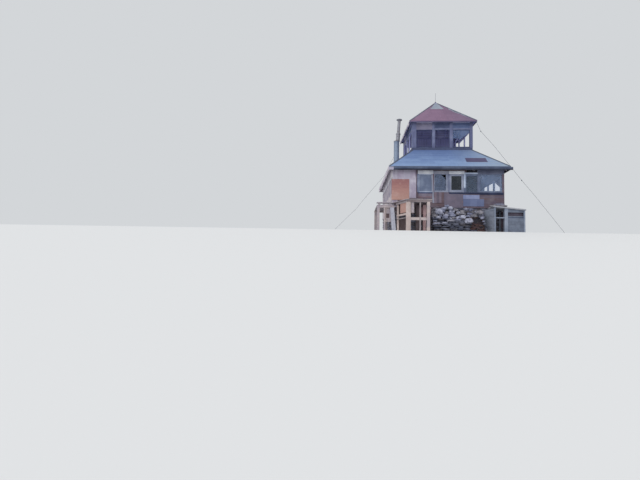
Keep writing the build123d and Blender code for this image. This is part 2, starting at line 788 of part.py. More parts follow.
# Platform beside the left wall, with a raised step along its front edge
platform_left = -cabin_half - platform_wide
platform_low = platform_top - platform_board
platform_front = front_face - platform_ahead
platform_back = platform_front + platform_long
platform = block(platform_left, -cabin_half, platform_front, platform_back, platform_low, platform_top)
step_low = floor_top - step_thick
step = block(platform_left, -cabin_half, platform_front, platform_front + step_deep, step_low, floor_top)
block_front = platform_front + step_block / 2
block_back = platform_front + step_deep - step_block / 2
for x0 in (platform_left + step_block, -cabin_half - 2 * step_block):
    platform += block(x0, x0 + step_block, block_front, block_back, platform_top, step_low)
save(platform + step, "platform_boards")
beam_bottom = platform_low - platform_beam_deep
beam_front_edge = platform_front + platform_beam_wide
front_beam_right = -cabin_half + platform_beam_past
beam_back_edge = platform_back - platform_beam_wide
platform_pieces = [
    block(platform_left, front_beam_right, platform_front, beam_front_edge, beam_bottom, platform_low),
    block(platform_left, -cabin_half, beam_back_edge, platform_back, beam_bottom, platform_low),
]
back_post_y = platform_back - platform_beam_wide / 2
for y in (platform_front + platform_beam_wide / 2, back_post_y):
    platform_pieces.append(post(platform_left + platform_post * 0.6, y, 0, beam_bottom, platform_post))
platform_pieces.append(post(-cabin_half - platform_post, back_post_y, 0, beam_bottom, platform_post))
lean_half = leaning_post / 2
foot_x = -cabin_half + leaning_foot
head_x = foot_x - leaning_run
leaning_outline = [(foot_x - lean_half, 0), (foot_x + lean_half, 0)]
leaning_outline += [(head_x + lean_half, beam_bottom), (head_x - lean_half, beam_bottom)]
lean_back = front_face - nail_gap
platform_pieces.append(prism_xz(leaning_outline, lean_back - leaning_post * 0.8, lean_back))

# Board panel under the platform's front, with a square hole, hung between a thin post and the leaning one
hatch_left = -cabin_half - hatch_post_out - hatch_post
hatch_y = platform_front + platform_beam_wide
hatch_panel = block(hatch_left, hatch_left + hatch_wide, hatch_y, hatch_y + hatch_board, hatch_low, platform_low)
hole_edges = (hatch_left + hatch_hole_left, hatch_left + hatch_hole_left + hatch_hole_wide)
hole_levels = (hatch_low + hatch_hole_low, hatch_low + hatch_hole_low + hatch_hole_high)
hatch_panel -= block(*hole_edges, hatch_y - 1, hatch_y + hatch_board + 1, *hole_levels)
platform_pieces.append(hatch_panel)
platform_pieces.append(block(hatch_left, hatch_left + hatch_post, platform_front, hatch_y, 0, beam_bottom))
save(fuse_all(platform_pieces), "platform_frame")

# Timber bin: posts and rails, panels, sloping lid
bin_right = bin_left + bin_wide
bin_front = -stone_outer - bin_out
bin_back = -stone_outer
lid_slope = bin_fall / bin_wide
lid_edges = [(bin_left - bin_lid_over, bin_top + bin_lid_over * lid_slope)]
lid_edges.append((bin_right + bin_lid_over, bin_top - bin_fall - bin_lid_over * lid_slope))
lid_under = [(x, z - bin_lid_thick) for x, z in lid_edges]
air_over = [(x, z + bin_top) for x, z in reversed(lid_edges)]
above_lid = prism_xz(lid_under + air_over, bin_front - bin_out, bin_back + bin_out)
bin_lid = prism_xz(lid_under + list(reversed(lid_edges)), bin_front - bin_lid_over, bin_back)
save(bin_lid, "bin_lid")
main_x = bin_left + bin_wide * bin_main_share
bin_pieces = []
bin_posts = [(bin_left + bin_post / 2, bin_post), (main_x, bin_main_post), (bin_right - bin_post / 2, bin_post)]
for x, size in bin_posts:
    bin_pieces.append(post(x, bin_front + size / 2, 0, bin_top, size) - above_lid)
    bin_pieces.append(post(x, bin_back - bin_post / 2, 0, bin_top, bin_post) - above_lid)
rail_y = (bin_front + bin_panel_back, bin_front + bin_panel_back + bin_post)
bin_pieces.append(block(bin_left, main_x, *rail_y, bin_rail_level, bin_rail_level + bin_rail_high))
save(fuse_all(bin_pieces), "bin_frame")
panel_x = (main_x + bin_main_post / 2, bin_right - bin_post)
panel_y = (bin_front + bin_panel_back, bin_front + bin_panel_back + bin_board)
slot_top = bin_panel_high + bin_slot
end_x = (bin_right - bin_board - bin_panel_back, bin_right - bin_panel_back)
side_slope = (bin_out - bin_panel_back) / bin_side_run
side_across = bin_board * math.hypot(1, side_slope) / side_slope
side_outline = [
    (bin_left - bin_side_run, bin_back),
    (bin_left - bin_side_run + side_across, bin_back),
    (bin_left, bin_back - (bin_side_run - side_across) * side_slope),
    (bin_left, bin_front + bin_panel_back),
]
bin_panels = [
    block(*panel_x, *panel_y, 0, bin_panel_high),
    block(*panel_x, *panel_y, slot_top, bin_top) - above_lid,
    block(*end_x, bin_front + bin_post, bin_back - bin_post, 0, bin_top) - above_lid,
    block(stone_outer - bin_back_run, bin_right - bin_post, bin_back - bin_board, bin_back, 0, bin_top) - above_lid,
    prism_xy(side_outline, 0, bin_side_high),
]
save(group(bin_panels), "bin_panels")


# Guy cables, each from a plate under an eave corner down to its anchor
def cable(points):
    """A cable of straight lengths with a rounded joint at each point."""
    pieces = []
    for start, end in zip(points[:-1], points[1:]):
        line = Vector(*end) - Vector(*start)
        plane = Plane(origin=Vector(*start), z_dir=line)
        pieces.append(plane * Pos(0, 0, line.length / 2) * Cylinder(cable_radius, line.length))
        pieces.append(Pos(*start) * Sphere(cable_radius))
    return fuse_all(pieces)


plate_top = upper_eave_top - upper_panel_drop - upper_fascia_deep
plate_middle = upper_eave - plate_side / 2
cable_start = plate_top - plate_thick - 10
anchor_level = anchor_high + eye_high
right_shape = [(0.049, 0.916), (0.216, 0.7695), (0.523, 0.4643), (0.664, 0.334)]
left_shape = [(0.233, 0.6425), (0.466, 0.4335), (0.631, 0.2775)]
knob_points = {1: [0, 2], -1: []}
cables = []
anchors = []
for way, shape in ((1, right_shape), (-1, left_shape)):
    y = -way * plate_middle
    run = anchor_reach - plate_middle
    fall = cable_start - anchor_level
    middles = []
    for share, height in shape:
        middles.append((way * (plate_middle + share * run), y, anchor_level + height * fall))
    start = (way * plate_middle, y, cable_start)
    end = (way * anchor_reach, y, anchor_level)
    pieces = [cable([start] + middles + [end])]
    pieces.append(Pos(start[0], y, plate_top - plate_thick / 2) * Box(plate_side, plate_side, plate_thick))
    pieces.append(Pos(start[0], y, cable_start + 5) * Cylinder(cable_radius, 12))
    pieces.append(Pos(end[0], y, anchor_level - cable_radius / 2) * Cylinder(cable_radius, cable_radius))
    pieces += [Pos(*middles[index]) * Sphere(knob_radius) for index in knob_points[way]]
    cables.append(fuse_all(pieces))
    eye = eye_high - cable_radius
    foot = Pos(end[0], y, anchor_high / 2) * Box(anchor_side, anchor_side, anchor_high)
    anchors.append(foot + Pos(end[0], y, anchor_high + eye / 2) * Cylinder(eye_radius, eye))
save(group(cables), "guy_cables")
save(group(anchors), "guy_anchors")
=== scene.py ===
"""Looks of a weathered fire lookout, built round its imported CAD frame."""

from __future__ import annotations

import json
import logging
import math
import random
from dataclasses import dataclass
from enum import Enum
from itertools import pairwise
from typing import Any, Sequence

import bmesh
import bpy
from mathutils import Matrix, Vector, noise

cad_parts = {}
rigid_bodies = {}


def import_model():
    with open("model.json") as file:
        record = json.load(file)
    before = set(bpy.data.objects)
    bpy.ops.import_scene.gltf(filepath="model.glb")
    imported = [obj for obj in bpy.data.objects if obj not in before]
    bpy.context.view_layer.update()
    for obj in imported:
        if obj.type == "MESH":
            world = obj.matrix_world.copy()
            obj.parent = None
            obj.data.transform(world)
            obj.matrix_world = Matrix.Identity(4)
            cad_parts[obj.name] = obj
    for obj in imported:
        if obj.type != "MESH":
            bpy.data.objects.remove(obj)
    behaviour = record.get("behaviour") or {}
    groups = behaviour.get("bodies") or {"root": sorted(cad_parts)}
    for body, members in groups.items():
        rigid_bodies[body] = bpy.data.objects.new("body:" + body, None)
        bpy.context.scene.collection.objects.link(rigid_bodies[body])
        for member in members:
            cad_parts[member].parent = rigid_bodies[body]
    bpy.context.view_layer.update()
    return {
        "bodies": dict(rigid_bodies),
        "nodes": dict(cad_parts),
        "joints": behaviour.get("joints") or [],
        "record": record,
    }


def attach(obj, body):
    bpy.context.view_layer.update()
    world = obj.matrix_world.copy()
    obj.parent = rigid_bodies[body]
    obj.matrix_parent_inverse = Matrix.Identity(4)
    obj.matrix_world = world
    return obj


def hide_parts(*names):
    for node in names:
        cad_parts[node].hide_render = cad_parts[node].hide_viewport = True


log = logging.getLogger("lookout")

# The cabin's middle, in the row frame
SHIFT = Vector((0.0, 0.593, 0.0))
GRAIN_MAP = "grain"
# What makes a Mix node mix colours
IN_COLOUR = {"data_type": "RGBA"}

Point = Sequence[float]
Pair = tuple[float, float]
Opening = tuple[float, float, float, float]


class Side(Enum):
    """The four sides of the building, as quarter turns from the front."""

    FRONT = 0
    RIGHT = 1
    BACK = 2
    LEFT = 3


class Grain(Enum):
    """What a timber's grain follows."""

    BOARD = 0
    ALONG_X = 1
    ALONG_Y = 2
    ALONG_Z = 3


def turned(point: Point, side: Side, shift: Vector = SHIFT) -> Vector:
    """Takes a point of the front side to another side of the building.

    Args:
        point: x, y and z from the cabin's middle.
        side: The side it goes to.
        shift: What is added at the end, nothing for a direction.

    Returns:
        The point in the row frame.
    """
    x, y, z = point
    for _ in range(side.value):
        x, y = -y, x
    return Vector((x, y, z)) + shift


def linear(hex_colour: str) -> tuple[float, float, float, float]:
    """Turns an sRGB hex colour to linear.

    Args:
        hex_colour: Six hex digits.

    Returns:
        Red, green, blue and a full alpha.
    """
    parts = [int(hex_colour[i : i + 2], 16) / 255 for i in (0, 2, 4)]
    made = [c / 12.92 if c <= 0.04045 else ((c + 0.055) / 1.055) ** 2.4 for c in parts]
    return (made[0], made[1], made[2], 1.0)


def add(
    tree: bpy.types.NodeTree,
    kind: str,
    settings: dict[Any, Any] | None = None,
    links: dict[Any, bpy.types.Node | bpy.types.NodeSocket] | None = None,
) -> bpy.types.Node:
    """Adds one node.

    Args:
        tree: The node tree.
        kind: The node's type, without the ShaderNode that every type starts with.
        settings: Properties, or values of inputs by name or number. A colour is sRGB hex.
        links: What feeds inputs by name or number. A node feeds its first output that is in use.

    Returns:
        The new node.
    """
    node = tree.nodes.new("ShaderNode" + kind)
    for key, value in (settings or {}).items():
        if isinstance(key, str) and hasattr(node, key):
            setattr(node, key, value)
        else:
            node.inputs[key].default_value = linear(value) if isinstance(value, str) else value
    for key, source in (links or {}).items():
        if isinstance(source, bpy.types.Node):
            source = next(socket for socket in source.outputs if socket.enabled)
        tree.links.new(source, node.inputs[key])
    return node


class Finish:
    """A finish that makes its material once."""

    name: str

    def material(self) -> bpy.types.Material:
        """Gives the material, made at its first use.

        Returns:
            The material.
        """
        found = bpy.data.materials.get(self.name)
        if found is None:
            found = bpy.data.materials.new(self.name)
            found.use_nodes = True
            found.node_tree.nodes.clear()
            self.draw(found.node_tree)
        return found

    def draw(self, tree: bpy.types.NodeTree) -> None:
        """Fills the material's node tree."""
        raise NotImplementedError


def end_at_surface(
    tree: bpy.types.NodeTree,
    colour: bpy.types.Node,
    height: bpy.types.Node,
    relief_mm: float,
    settings: dict[str, Any],
    rough: bpy.types.Node | None = None,
) -> None:
    """Ends a tree in a surface with a colour and a relief.

    Args:
        tree: The node tree.
        colour: The node that gives the colour.
        height: The node that gives the relief, 0 to 1.
        relief_mm: How deep the relief is.
        settings: Values of the shader's own sockets.
        rough: The node that gives the roughness, or None.
    """
    relief = add(tree, "Bump", {"Strength": 1.0, "Distance": relief_mm / 1000}, {"Height": height})
    links = {"Base Color": colour, "Normal": relief}
    if rough is not None:
        links["Roughness"] = rough
    shader = add(tree, "BsdfPrincipled", settings, links)
    add(tree, "OutputMaterial", None, {"Surface": shader})


@dataclass(frozen=True)
class SawnTimber(Finish):
    """Softwood, sawn and left out for decades: silvered, streaked along the grain, each board its own tone.

    Growth rings are 1 to 3 mm apart, too fine to show in the render, so the streaks are drawn 22 mm wide or more.
    """

    name: str
    base: str
    dark: str
    pale: str
    other: str
    grain: Grain = Grain.BOARD
    streak_mm: float = 22.0
    run_mm: float = 700.0
    board_mm: float = 0.0
    mixed: float = 0.5
    worn: float = 0.35
    area_mm: float = 625.0
    knot_streaks: float = 6.25
    relief_mm: float = 3.0
    joint: str = "241f20"

    def draw(self, tree: bpy.types.NodeTree) -> None:
        """Draws streaks along the grain, weathered areas, knots and a tone for each board.

        Args:
            tree: The material's node tree.
        """
        across, along = 1000 / self.streak_mm, 1000 / self.run_mm
        place = add(tree, "TexCoord").outputs["Object"]
        if self.grain is Grain.BOARD:
            line = add(tree, "UVMap", {"uv_map": GRAIN_MAP})
            scale = (along, across, across)
        else:
            line = place
            scale = tuple(along if i == self.grain.value - 1 else across for i in range(3))
        stretched = add(tree, "Mapping", {"Scale": scale}, {"Vector": line})
        figure = {"Scale": 1.0, "Detail": 5.0, "Roughness": 0.62, "Distortion": 0.4}
        streaks = add(tree, "TexNoise", figure, {"Vector": stretched})
        clear = add(tree, "MapRange", {"From Min": 0.34, "From Max": 0.66}, {"Value": streaks})
        cloud = {"Scale": 1000 / self.area_mm, "Detail": 6.0, "Roughness": 0.6}
        areas = add(tree, "TexNoise", cloud, {"Vector": place})
        bare = {"From Min": 0.62 - self.worn * 0.5, "From Max": 0.78 - self.worn * 0.3}
        worn = add(tree, "MapRange", bare, {"Value": areas})
        island = add(tree, "NewGeometry").outputs["Random Per Island"]
        share = add(tree, "Math", {"operation": "MULTIPLY", 1: self.mixed}, {0: island})
        toned = add(tree, "Mix", IN_COLOUR | {6: self.base, 7: self.other}, {0: share})
        streaky = add(tree, "Mix", IN_COLOUR | {6: self.dark}, {0: clear, 7: toned})
        half = add(tree, "Math", {"operation": "MULTIPLY_ADD", 1: 0.35, 2: 0.65}, {0: clear})
        kept = add(tree, "Mix", IN_COLOUR, {0: half, 6: streaky, 7: toned})
        faded = add(tree, "Mix", IN_COLOUR | {7: self.pale}, {0: worn, 6: kept})
        knots = add(tree, "TexVoronoi", {"Scale": 1 / self.knot_streaks, "Randomness": 1.0}, {"Vector": stretched})
        knot = add(tree, "MapRange", {"From Min": 0.07, "From Max": 0.13}, {"Value": knots})
        colour = add(tree, "Mix", IN_COLOUR | {6: self.dark}, {0: knot, 7: faded})
        height = clear
        if self.board_mm:
            parts = add(tree, "SeparateXYZ", None, {0: place})
            if self.grain is Grain.ALONG_Z:
                reach = add(tree, "Math", {"operation": "ADD"}, {0: parts.outputs["X"], 1: parts.outputs["Y"]})
            else:
                reach = parts.outputs["Y" if self.grain is Grain.ALONG_X else "X"]
            turns = add(tree, "Math", {"operation": "MULTIPLY", 1: 1000 / self.board_mm}, {0: reach})
            part = add(tree, "Math", {"operation": "FRACT"}, {0: turns})
            gap = add(tree, "MapRange", {"From Min": 0.02, "From Max": 0.09}, {"Value": part})
            number = add(tree, "Math", {"operation": "FLOOR"}, {0: turns})
            tone = add(tree, "TexWhiteNoise", {"noise_dimensions": "1D"}, {"W": number})
            tone_share = add(tree, "Math", {"operation": "MULTIPLY", 1: self.mixed}, {0: tone})
            mixed = add(tree, "Mix", IN_COLOUR | {7: self.other}, {0: tone_share, 6: colour})
            colour = add(tree, "Mix", IN_COLOUR | {6: self.joint}, {0: gap, 7: mixed})
            height = gap
        matt = {"Roughness": 0.85, "IOR": 1.45, "Specular IOR Level": 0.25}
        end_at_surface(tree, colour, height, self.relief_mm, matt)


@dataclass(frozen=True)
class RoofSheet(Finish):
    """Rolled steel sheet, zinc coated or painted: a dull shine, run-off streaks, a tone for each sheet.

    The zinc's spangle is a few millimetres across, too fine to show, so its clouds are drawn half a metre wide.
    """

    name: str
    base: str
    pale: str
    dark: str
    rust: str = "6b4a3e"
    rusty: float = 0.15
    streak_mm: float = 90.0
    run_mm: float = 1111.1
    cloud_mm: float = 526.3
    spot_mm: float = 294.1
    metallic: float = 0.35
    roughness: float = 0.5
    relief_mm: float = 6.0
    # Tints faded in by place across the whole piece; on the upper roof the right one is painted shade
    high: str = ""
    low: str = ""
    right: str = ""

    def draw(self, tree: bpy.types.NodeTree) -> None:
        """Draws cloudy zinc, streaks down the slope, rust spots and a tone for each sheet.

        Args:
            tree: The material's node tree.
        """
        place = add(tree, "TexCoord").outputs["Object"]
        line = add(tree, "UVMap", {"uv_map": GRAIN_MAP})
        down = add(tree, "Mapping", {"Scale": (1000 / self.streak_mm, 1000 / self.run_mm, 1.0)}, {"Vector": line})
        streaks = add(tree, "TexNoise", {"Scale": 1.0, "Detail": 4.0, "Roughness": 0.6}, {"Vector": down})
        cloud = {"Scale": 1000 / self.cloud_mm, "Detail": 7.0, "Roughness": 0.65}
        clouds = add(tree, "TexNoise", cloud, {"Vector": place})
        island = add(tree, "NewGeometry").outputs["Random Per Island"]
        tone = add(tree, "Math", {"operation": "MULTIPLY_ADD", 1: 0.3, 2: -0.15}, {0: island})
        sum_up = add(tree, "Math", {"operation": "ADD"}, {0: clouds, 1: tone})
        light = add(tree, "MapRange", {"From Min": 0.36, "From Max": 0.66}, {"Value": sum_up})
        body = add(tree, "Mix", IN_COLOUR | {6: self.base, 7: self.pale}, {0: light})
        parts = add(tree, "SeparateXYZ", None, {0: add(tree, "TexCoord")})
        # Fades by place: on the oxide-red upper roof the right fade is painted shade, darker on the side away from the
        # light; the zinc roof is paler to the right, darker towards its top and paler towards its eave
        tints = ((self.high, "Z", 0.45, 0.95), (self.low, "Z", 0.4, 0.0), (self.right, "X", 0.55, 0.95))
        for tint, axis, start, end in tints:
            if tint:
                fade = {"From Min": start, "From Max": end, "To Max": 0.8}
                share = add(tree, "MapRange", fade, {"Value": parts.outputs[axis]})
                body = add(tree, "Mix", IN_COLOUR | {7: tint}, {0: share, 6: body})
        run = add(tree, "MapRange", {"From Min": 0.52, "From Max": 0.75, "To Max": 0.4}, {"Value": streaks})
        streaked = add(tree, "Mix", IN_COLOUR | {7: self.dark}, {0: run, 6: body})
        spot = {"Scale": 1000 / self.spot_mm, "Detail": 9.0, "Roughness": 0.72}
        spots = add(tree, "TexNoise", spot, {"Vector": place})
        bitten = {"From Min": 0.7 - self.rusty * 0.4, "From Max": 0.78 - self.rusty * 0.3, "To Max": 0.75}
        rust = add(tree, "MapRange", bitten, {"Value": spots})
        colour = add(tree, "Mix", IN_COLOUR | {7: self.rust}, {0: rust, 6: streaked})
        dulled = {"To Min": self.roughness - 0.08, "To Max": self.roughness + 0.15}
        rough = add(tree, "MapRange", dulled, {"Value": spots})
        end_at_surface(tree, colour, clouds, self.relief_mm, {"Metallic": self.metallic}, rough)


@dataclass(frozen=True)
class LaidStone(Finish):
    """Split field stone, laid dry: rough, mottled, each block its own tone, with crusts of lichen.

    The stone's own grain is 1 to 3 mm, too fine to show, so the mottling is drawn 180 mm wide with finer detail in it.
    """

    name: str
    base: str
    pale: str
    dark: str
    warm: str
    mottle_mm: float = 180.0
    crust_mm: float = 192.3
    relief_mm: float = 20.0
    lichen: str = "a9ab9d"

    def draw(self, tree: bpy.types.NodeTree) -> None:
        """Draws a tone for each block, mottling and lichen.

        Args:
            tree: The material's node tree.
        """
        place = add(tree, "TexCoord").outputs["Object"]
        island = add(tree, "NewGeometry").outputs["Random Per Island"]
        speckle = {"Scale": 1000 / self.mottle_mm, "Detail": 8.0, "Roughness": 0.7}
        mottle = add(tree, "TexNoise", speckle, {"Vector": place})
        toned = add(tree, "Mix", IN_COLOUR | {6: self.base, 7: self.pale}, {0: island})
        again = add(tree, "Math", {"operation": "MULTIPLY", 1: 7.3}, {0: island})
        other = add(tree, "Math", {"operation": "FRACT"}, {0: again})
        some = add(tree, "MapRange", {"From Min": 0.72, "From Max": 0.8, "To Max": 0.6}, {"Value": other})
        warmed = add(tree, "Mix", IN_COLOUR | {7: self.warm}, {0: some, 6: toned})
        deep = add(tree, "MapRange", {"From Min": 0.3, "From Max": 0.56}, {"Value": mottle})
        colour = add(tree, "Mix", IN_COLOUR | {6: self.dark}, {0: deep, 7: warmed})
        growth = {"Scale": 1000 / self.crust_mm, "Detail": 10.0, "Roughness": 0.75}
        crust = add(tree, "TexNoise", growth, {"Vector": place})
        patch = add(tree, "MapRange", {"From Min": 0.63, "From Max": 0.68, "To Max": 0.5}, {"Value": crust})
        grown = add(tree, "Mix", IN_COLOUR | {7: self.lichen}, {0: patch, 6: colour})
        matt = {"Roughness": 0.92, "IOR": 1.5, "Specular IOR Level": 0.2}
        end_at_surface(tree, grown, mottle, self.relief_mm, matt)


@dataclass(frozen=True)
class Plywood(Finish):
    """Rotary-cut fir plywood, unpainted: orange brown with a wavy figure, washed paler towards its foot."""

    name: str
    base: str
    dark: str
    pale: str
    low: str
    figure_mm: float = 454.5
    blotch_mm: float = 370.4
    relief_mm: float = 1.0

    def draw(self, tree: bpy.types.NodeTree) -> None:
        """Draws wavy peeled grain, a dark stain at the head and a bleached foot.

        Args:
            tree: The material's node tree.
        """
        place = add(tree, "TexCoord").outputs["Object"]
        wide = add(tree, "Mapping", {"Scale": (1.0, 1.0, 7.0)}, {"Vector": place})
        wave = {"Scale": 1000 / self.figure_mm, "Detail": 6.0, "Roughness": 0.6, "Distortion": 1.4}
        figure = add(tree, "TexNoise", wave, {"Vector": wide})
        spread = add(tree, "MapRange", {"From Min": 0.35, "From Max": 0.65}, {"Value": figure})
        body = add(tree, "Mix", IN_COLOUR | {6: self.dark, 7: self.base}, {0: spread})
        height = add(tree, "SeparateXYZ", None, {0: add(tree, "TexCoord")}).outputs["Z"]
        foot = add(tree, "MapRange", {"From Min": 0.9, "From Max": 0.45, "To Max": 0.75}, {"Value": height})
        washed = add(tree, "Mix", IN_COLOUR | {7: self.low}, {0: foot, 6: body})
        head = add(tree, "MapRange", {"From Min": 0.68, "From Max": 0.95, "To Max": 0.65}, {"Value": height})
        stained = add(tree, "Mix", IN_COLOUR | {7: self.dark}, {0: head, 6: washed})
        blotch = add(tree, "TexNoise", {"Scale": 1000 / self.blotch_mm, "Detail": 4.0}, {"Vector": place})
        faded = add(tree, "MapRange", {"From Min": 0.55, "From Max": 0.72, "To Max": 0.6}, {"Value": blotch})
        colour = add(tree, "Mix", IN_COLOUR | {7: self.pale}, {0: faded, 6: stained})
        end_at_surface(tree, colour, spread, self.relief_mm, {"Roughness": 0.8, "Specular IOR Level": 0.25})


@dataclass(frozen=True)
class OldGlass(Finish):
    """Drawn window glass under years of dust: partly see-through, a soft milky film, dull reflections."""

    name: str
    tint: str
    dusty: float
    film_mm: float = 400.0

    def draw(self, tree: bpy.types.NodeTree) -> None:
        """Draws clear glass with a cloudy film that hides part of what is behind.

        Args:
            tree: The material's node tree.
        """
        place = add(tree, "TexCoord").outputs["Object"]
        film = add(tree, "TexNoise", {"Scale": 1000 / self.film_mm, "Detail": 5.0}, {"Vector": place})
        veil = {"From Min": 0.3, "From Max": 0.7, "To Min": self.dusty * 0.7, "To Max": self.dusty * 1.3}
        cloudy = add(tree, "MapRange", veil, {"Value": film})
        clean = {"Base Color": self.tint, "Roughness": 0.12, "IOR": 1.5}
        glass = add(tree, "BsdfPrincipled", clean, {"Alpha": cloudy})
        add(tree, "OutputMaterial", None, {"Surface": glass})


@dataclass(frozen=True)
class PlainFloor(Finish):
    """A matt studio floor in one pale tone."""

    name: str
    base: str

    def draw(self, tree: bpy.types.NodeTree) -> None:
        """Draws one flat matt tone."""
        shader = add(tree, "BsdfPrincipled", {"Base Color": self.base, "Roughness": 1.0, "Specular IOR Level": 0.0})
        add(tree, "OutputMaterial", None, {"Surface": shader})


# Sawn fir that was never painted: silver grey with dark checks along the grain. Lit and shaded copies of it carry
# painted light and shade: the shaded and half shaded posts are painted shade, the sunlit post is painted sunlight and
# also brightens shaded posts and boards, and the paler step boards are painted light on the step's top
SILVER_DECK = SawnTimber("silvered_fir_deck", "a09aa0", "6d6468", "b9afae", "8b8290", mixed=0.7)
STEP_BOARDS = SawnTimber("pale_step_boards", "b6b0b8", "8f8996", "cfcad0", "aaa4b0", mixed=0.8)
DECK_POSTS = SawnTimber("silvered_fir_posts", "aba2a5", "7b7276", "bfb2ae", "9a93a2", run_mm=900, mixed=0.6)
INNER_POSTS = SawnTimber("shaded_fir_posts", "6c6164", "453c3f", "7f7374", "5a5054", run_mm=900, mixed=0.6)
HALF_POST = SawnTimber("half_shaded_fir_post", "8d8487", "5e575a", "a0979a", "777076", run_mm=900, mixed=0.3)
BEAM_WOOD = SawnTimber("stained_fir_beam", "877c80", "60595c", "958a8d", "776d70", run_mm=900, mixed=0.4)
CORNER_POST = SawnTimber("sunlit_fir_post", "beada9", "8f8382", "cdc0bd", "aca09f", run_mm=900, mixed=0.4)
LEAN_POST = SawnTimber("bluish_fir_post", "b0b2c0", "7f8192", "bec0cc", "a0a2b3", run_mm=900, mixed=0.4)
# Sawn fir of the bin: colder and darker than the landing, with pale worn posts
BIN_BOARDS = SawnTimber("silvered_fir_bin", "626a7b", "3d4454", "737c8d", "5a5f6c", mixed=0.6)
WING_BOARDS = SawnTimber("silvered_wing_boards", "868d9e", "565d6d", "989fae", "7a7f8b", mixed=0.7)
# A dark board inside the bin behind its slot: painted shade
SLOT_SHADE_BOARD = SawnTimber("bin_slot_shade_board", "57515f", "3c3743", "655f6d", "4d4654", mixed=0.6)
BIN_POSTS = SawnTimber("silvered_bin_posts", "7f899b", "59637a", "939bab", "747c8e", run_mm=900, mixed=0.5)
# Paler than the boards: painted light on the lid's shaded edge and underside
LID_BOARDS = SawnTimber("silvered_lid_boards", "9ea1aa", "6f727a", "afb1b8", "8e919b", mixed=0.6)
# Stained clapboard and rough boards: dull red brown or slate where stain is left, bare grey wood on the left. The bare
# grey, soffit and eave-end boards are paler than bare wood: painted light, for the sun on the left side and against
# the shade under the left eave
RED_SIDING = SawnTimber("red_stained_clapboard", "605a6b", "3e3a47", "736c76", "675150", mixed=0.75, worn=0.25)
SLATE_SIDING = SawnTimber("slate_stained_clapboard", "626880", "404459", "70758b", "565c74", mixed=0.7)
GREY_SIDING = SawnTimber("bare_grey_boards", "c2b9bd", "8f898e", "d2cacb", "aaa5b1", mixed=0.9, worn=0.4)
SOFFIT_GREY = SawnTimber("bare_soffit_boards", "d5d0d8", "a39eab", "e0dbe0", "bdb7c3", mixed=0.9)
RIBBED_GREY = SawnTimber("bare_eave_boards", "d2cbd5", "9a94a2", "ddd7de", "b8b2bf", mixed=0.9)
BROWN_BOARDS = SawnTimber("raw_brown_boards", "706d7c", "484450", "7e7686", "7a5f64", mixed=0.8)
DARK_SKIRT = SawnTimber("dark_skirt_boards", "5b5157", "3a3236", "6b6065", "64524f", mixed=0.8)
# Paler than the stain: painted light on skirt boards and a post in the deck's shade
RED_SKIRT = SawnTimber("red_skirt_boards", "b8969b", "866b70", "c6a9ad", "a88f8e", mixed=0.8)
BOARDED_WINDOW = SawnTimber("boarded_window_planks", "9a94a0", "66616d", "aea8b0", "83809a", mixed=0.9)
# Joinery under brushed oil paint, chalked by the sun: matt blues and off-whites that differ from board to board
SASH_PAINT = SawnTimber("faded_pale_sash_paint", "767e96", "505870", "959bac", "868b9d", mixed=0.9, worn=0.3)
FIRST_SASH = SawnTimber("pale_blue_sash_paint", "94a0b8", "636d86", "a8b2c6", "8791a8", mixed=0.6)
DARK_SASH = SawnTimber("faded_slate_sash_paint", "59637c", "3b4358", "6e7890", "646d85", mixed=0.8)
CUPOLA_PAINT = SawnTimber("faded_blue_casing_paint", "666b8c", "434860", "7a809e", "5b6183", mixed=0.7, worn=0.3)
# Dark blue paint of the watch room's sills and sashes; under the first front window it is painted shadow
SILL_PAINT_AND_SHADOW = SawnTimber("dark_blue_sill_paint_and_shadow", "434b69", "2e3550", "515a79", "3b425f", mixed=0.7)
RAIL_PAINT = SawnTimber("faded_blue_rail_paint", "6c7290", "4b506c", "7f85a1", "5f6583", mixed=0.7)
# Frieze boards under the upper eave, paler than the casing paint: painted light against the eave's shade
TOP_PALE = SawnTimber("pale_frieze_board", "bcb9d2", "87849f", "c9c7db", "a9a6c2", mixed=0.6)
TOP_MID = SawnTimber("mid_frieze_board", "a2a7c6", "6d7294", "b2b6d2", "8f94b5", mixed=0.6)
# Paler than its paint: painted light against the lower eave's shade on the window heads
PALE_TRIM = SawnTimber("faded_white_trim", "c8ccd6", "9297a6", "d8dbe1", "b8bcc9", mixed=0.6)
POST_TRIM = SawnTimber("faded_lavender_trim", "7a829b", "4d546c", "8c92a8", "5f6681", mixed=0.9)
POST_PALE = SawnTimber("bleached_blue_trim", "a3b0c8", "747f98", "b3bfd3", "929fb8", mixed=0.6)
# Paler than its paint: painted light against the lower eave's shade on the window heads
HEAD_TRIM = SawnTimber("faded_head_trim", "888b9d", "62657a", "a2a5b2", "777b8f", mixed=0.9)
# Dark strips under the front sills: painted shadow
SILL_SHADOW = SawnTimber("painted_sill_shadow", "2b3149", "1c2132", "363d57", "252a40", mixed=0.5)
# Painted boards that close openings: flat dull panels with soft upright streaks. The watch room's header panels are
# paler than their paints: painted light against the upper eave's shade
HEADER_BROWN = SawnTimber("stained_header_panel", "77758d", "4d4b61", "86839a", "6c6a80", mixed=0.4)
HEADER_BLUE = SawnTimber("navy_header_panel", "4d5676", "343b54", "5b6484", "454d6b", mixed=0.4)
HEADER_TEAL = SawnTimber("slate_header_panel", "546083", "3a445e", "657297", "4f5c80", mixed=0.4)
PALE_PANEL = SawnTimber("faded_mauve_panel", "a8a4b5", "7b7287", "b7b3c1", "998ea4", mixed=0.8, streak_mm=60)
WINDOW_PANEL = SawnTimber("window_hardboard", "66718a", "4e586f", "7d889e", "5f6a82", mixed=0.2, streak_mm=160)
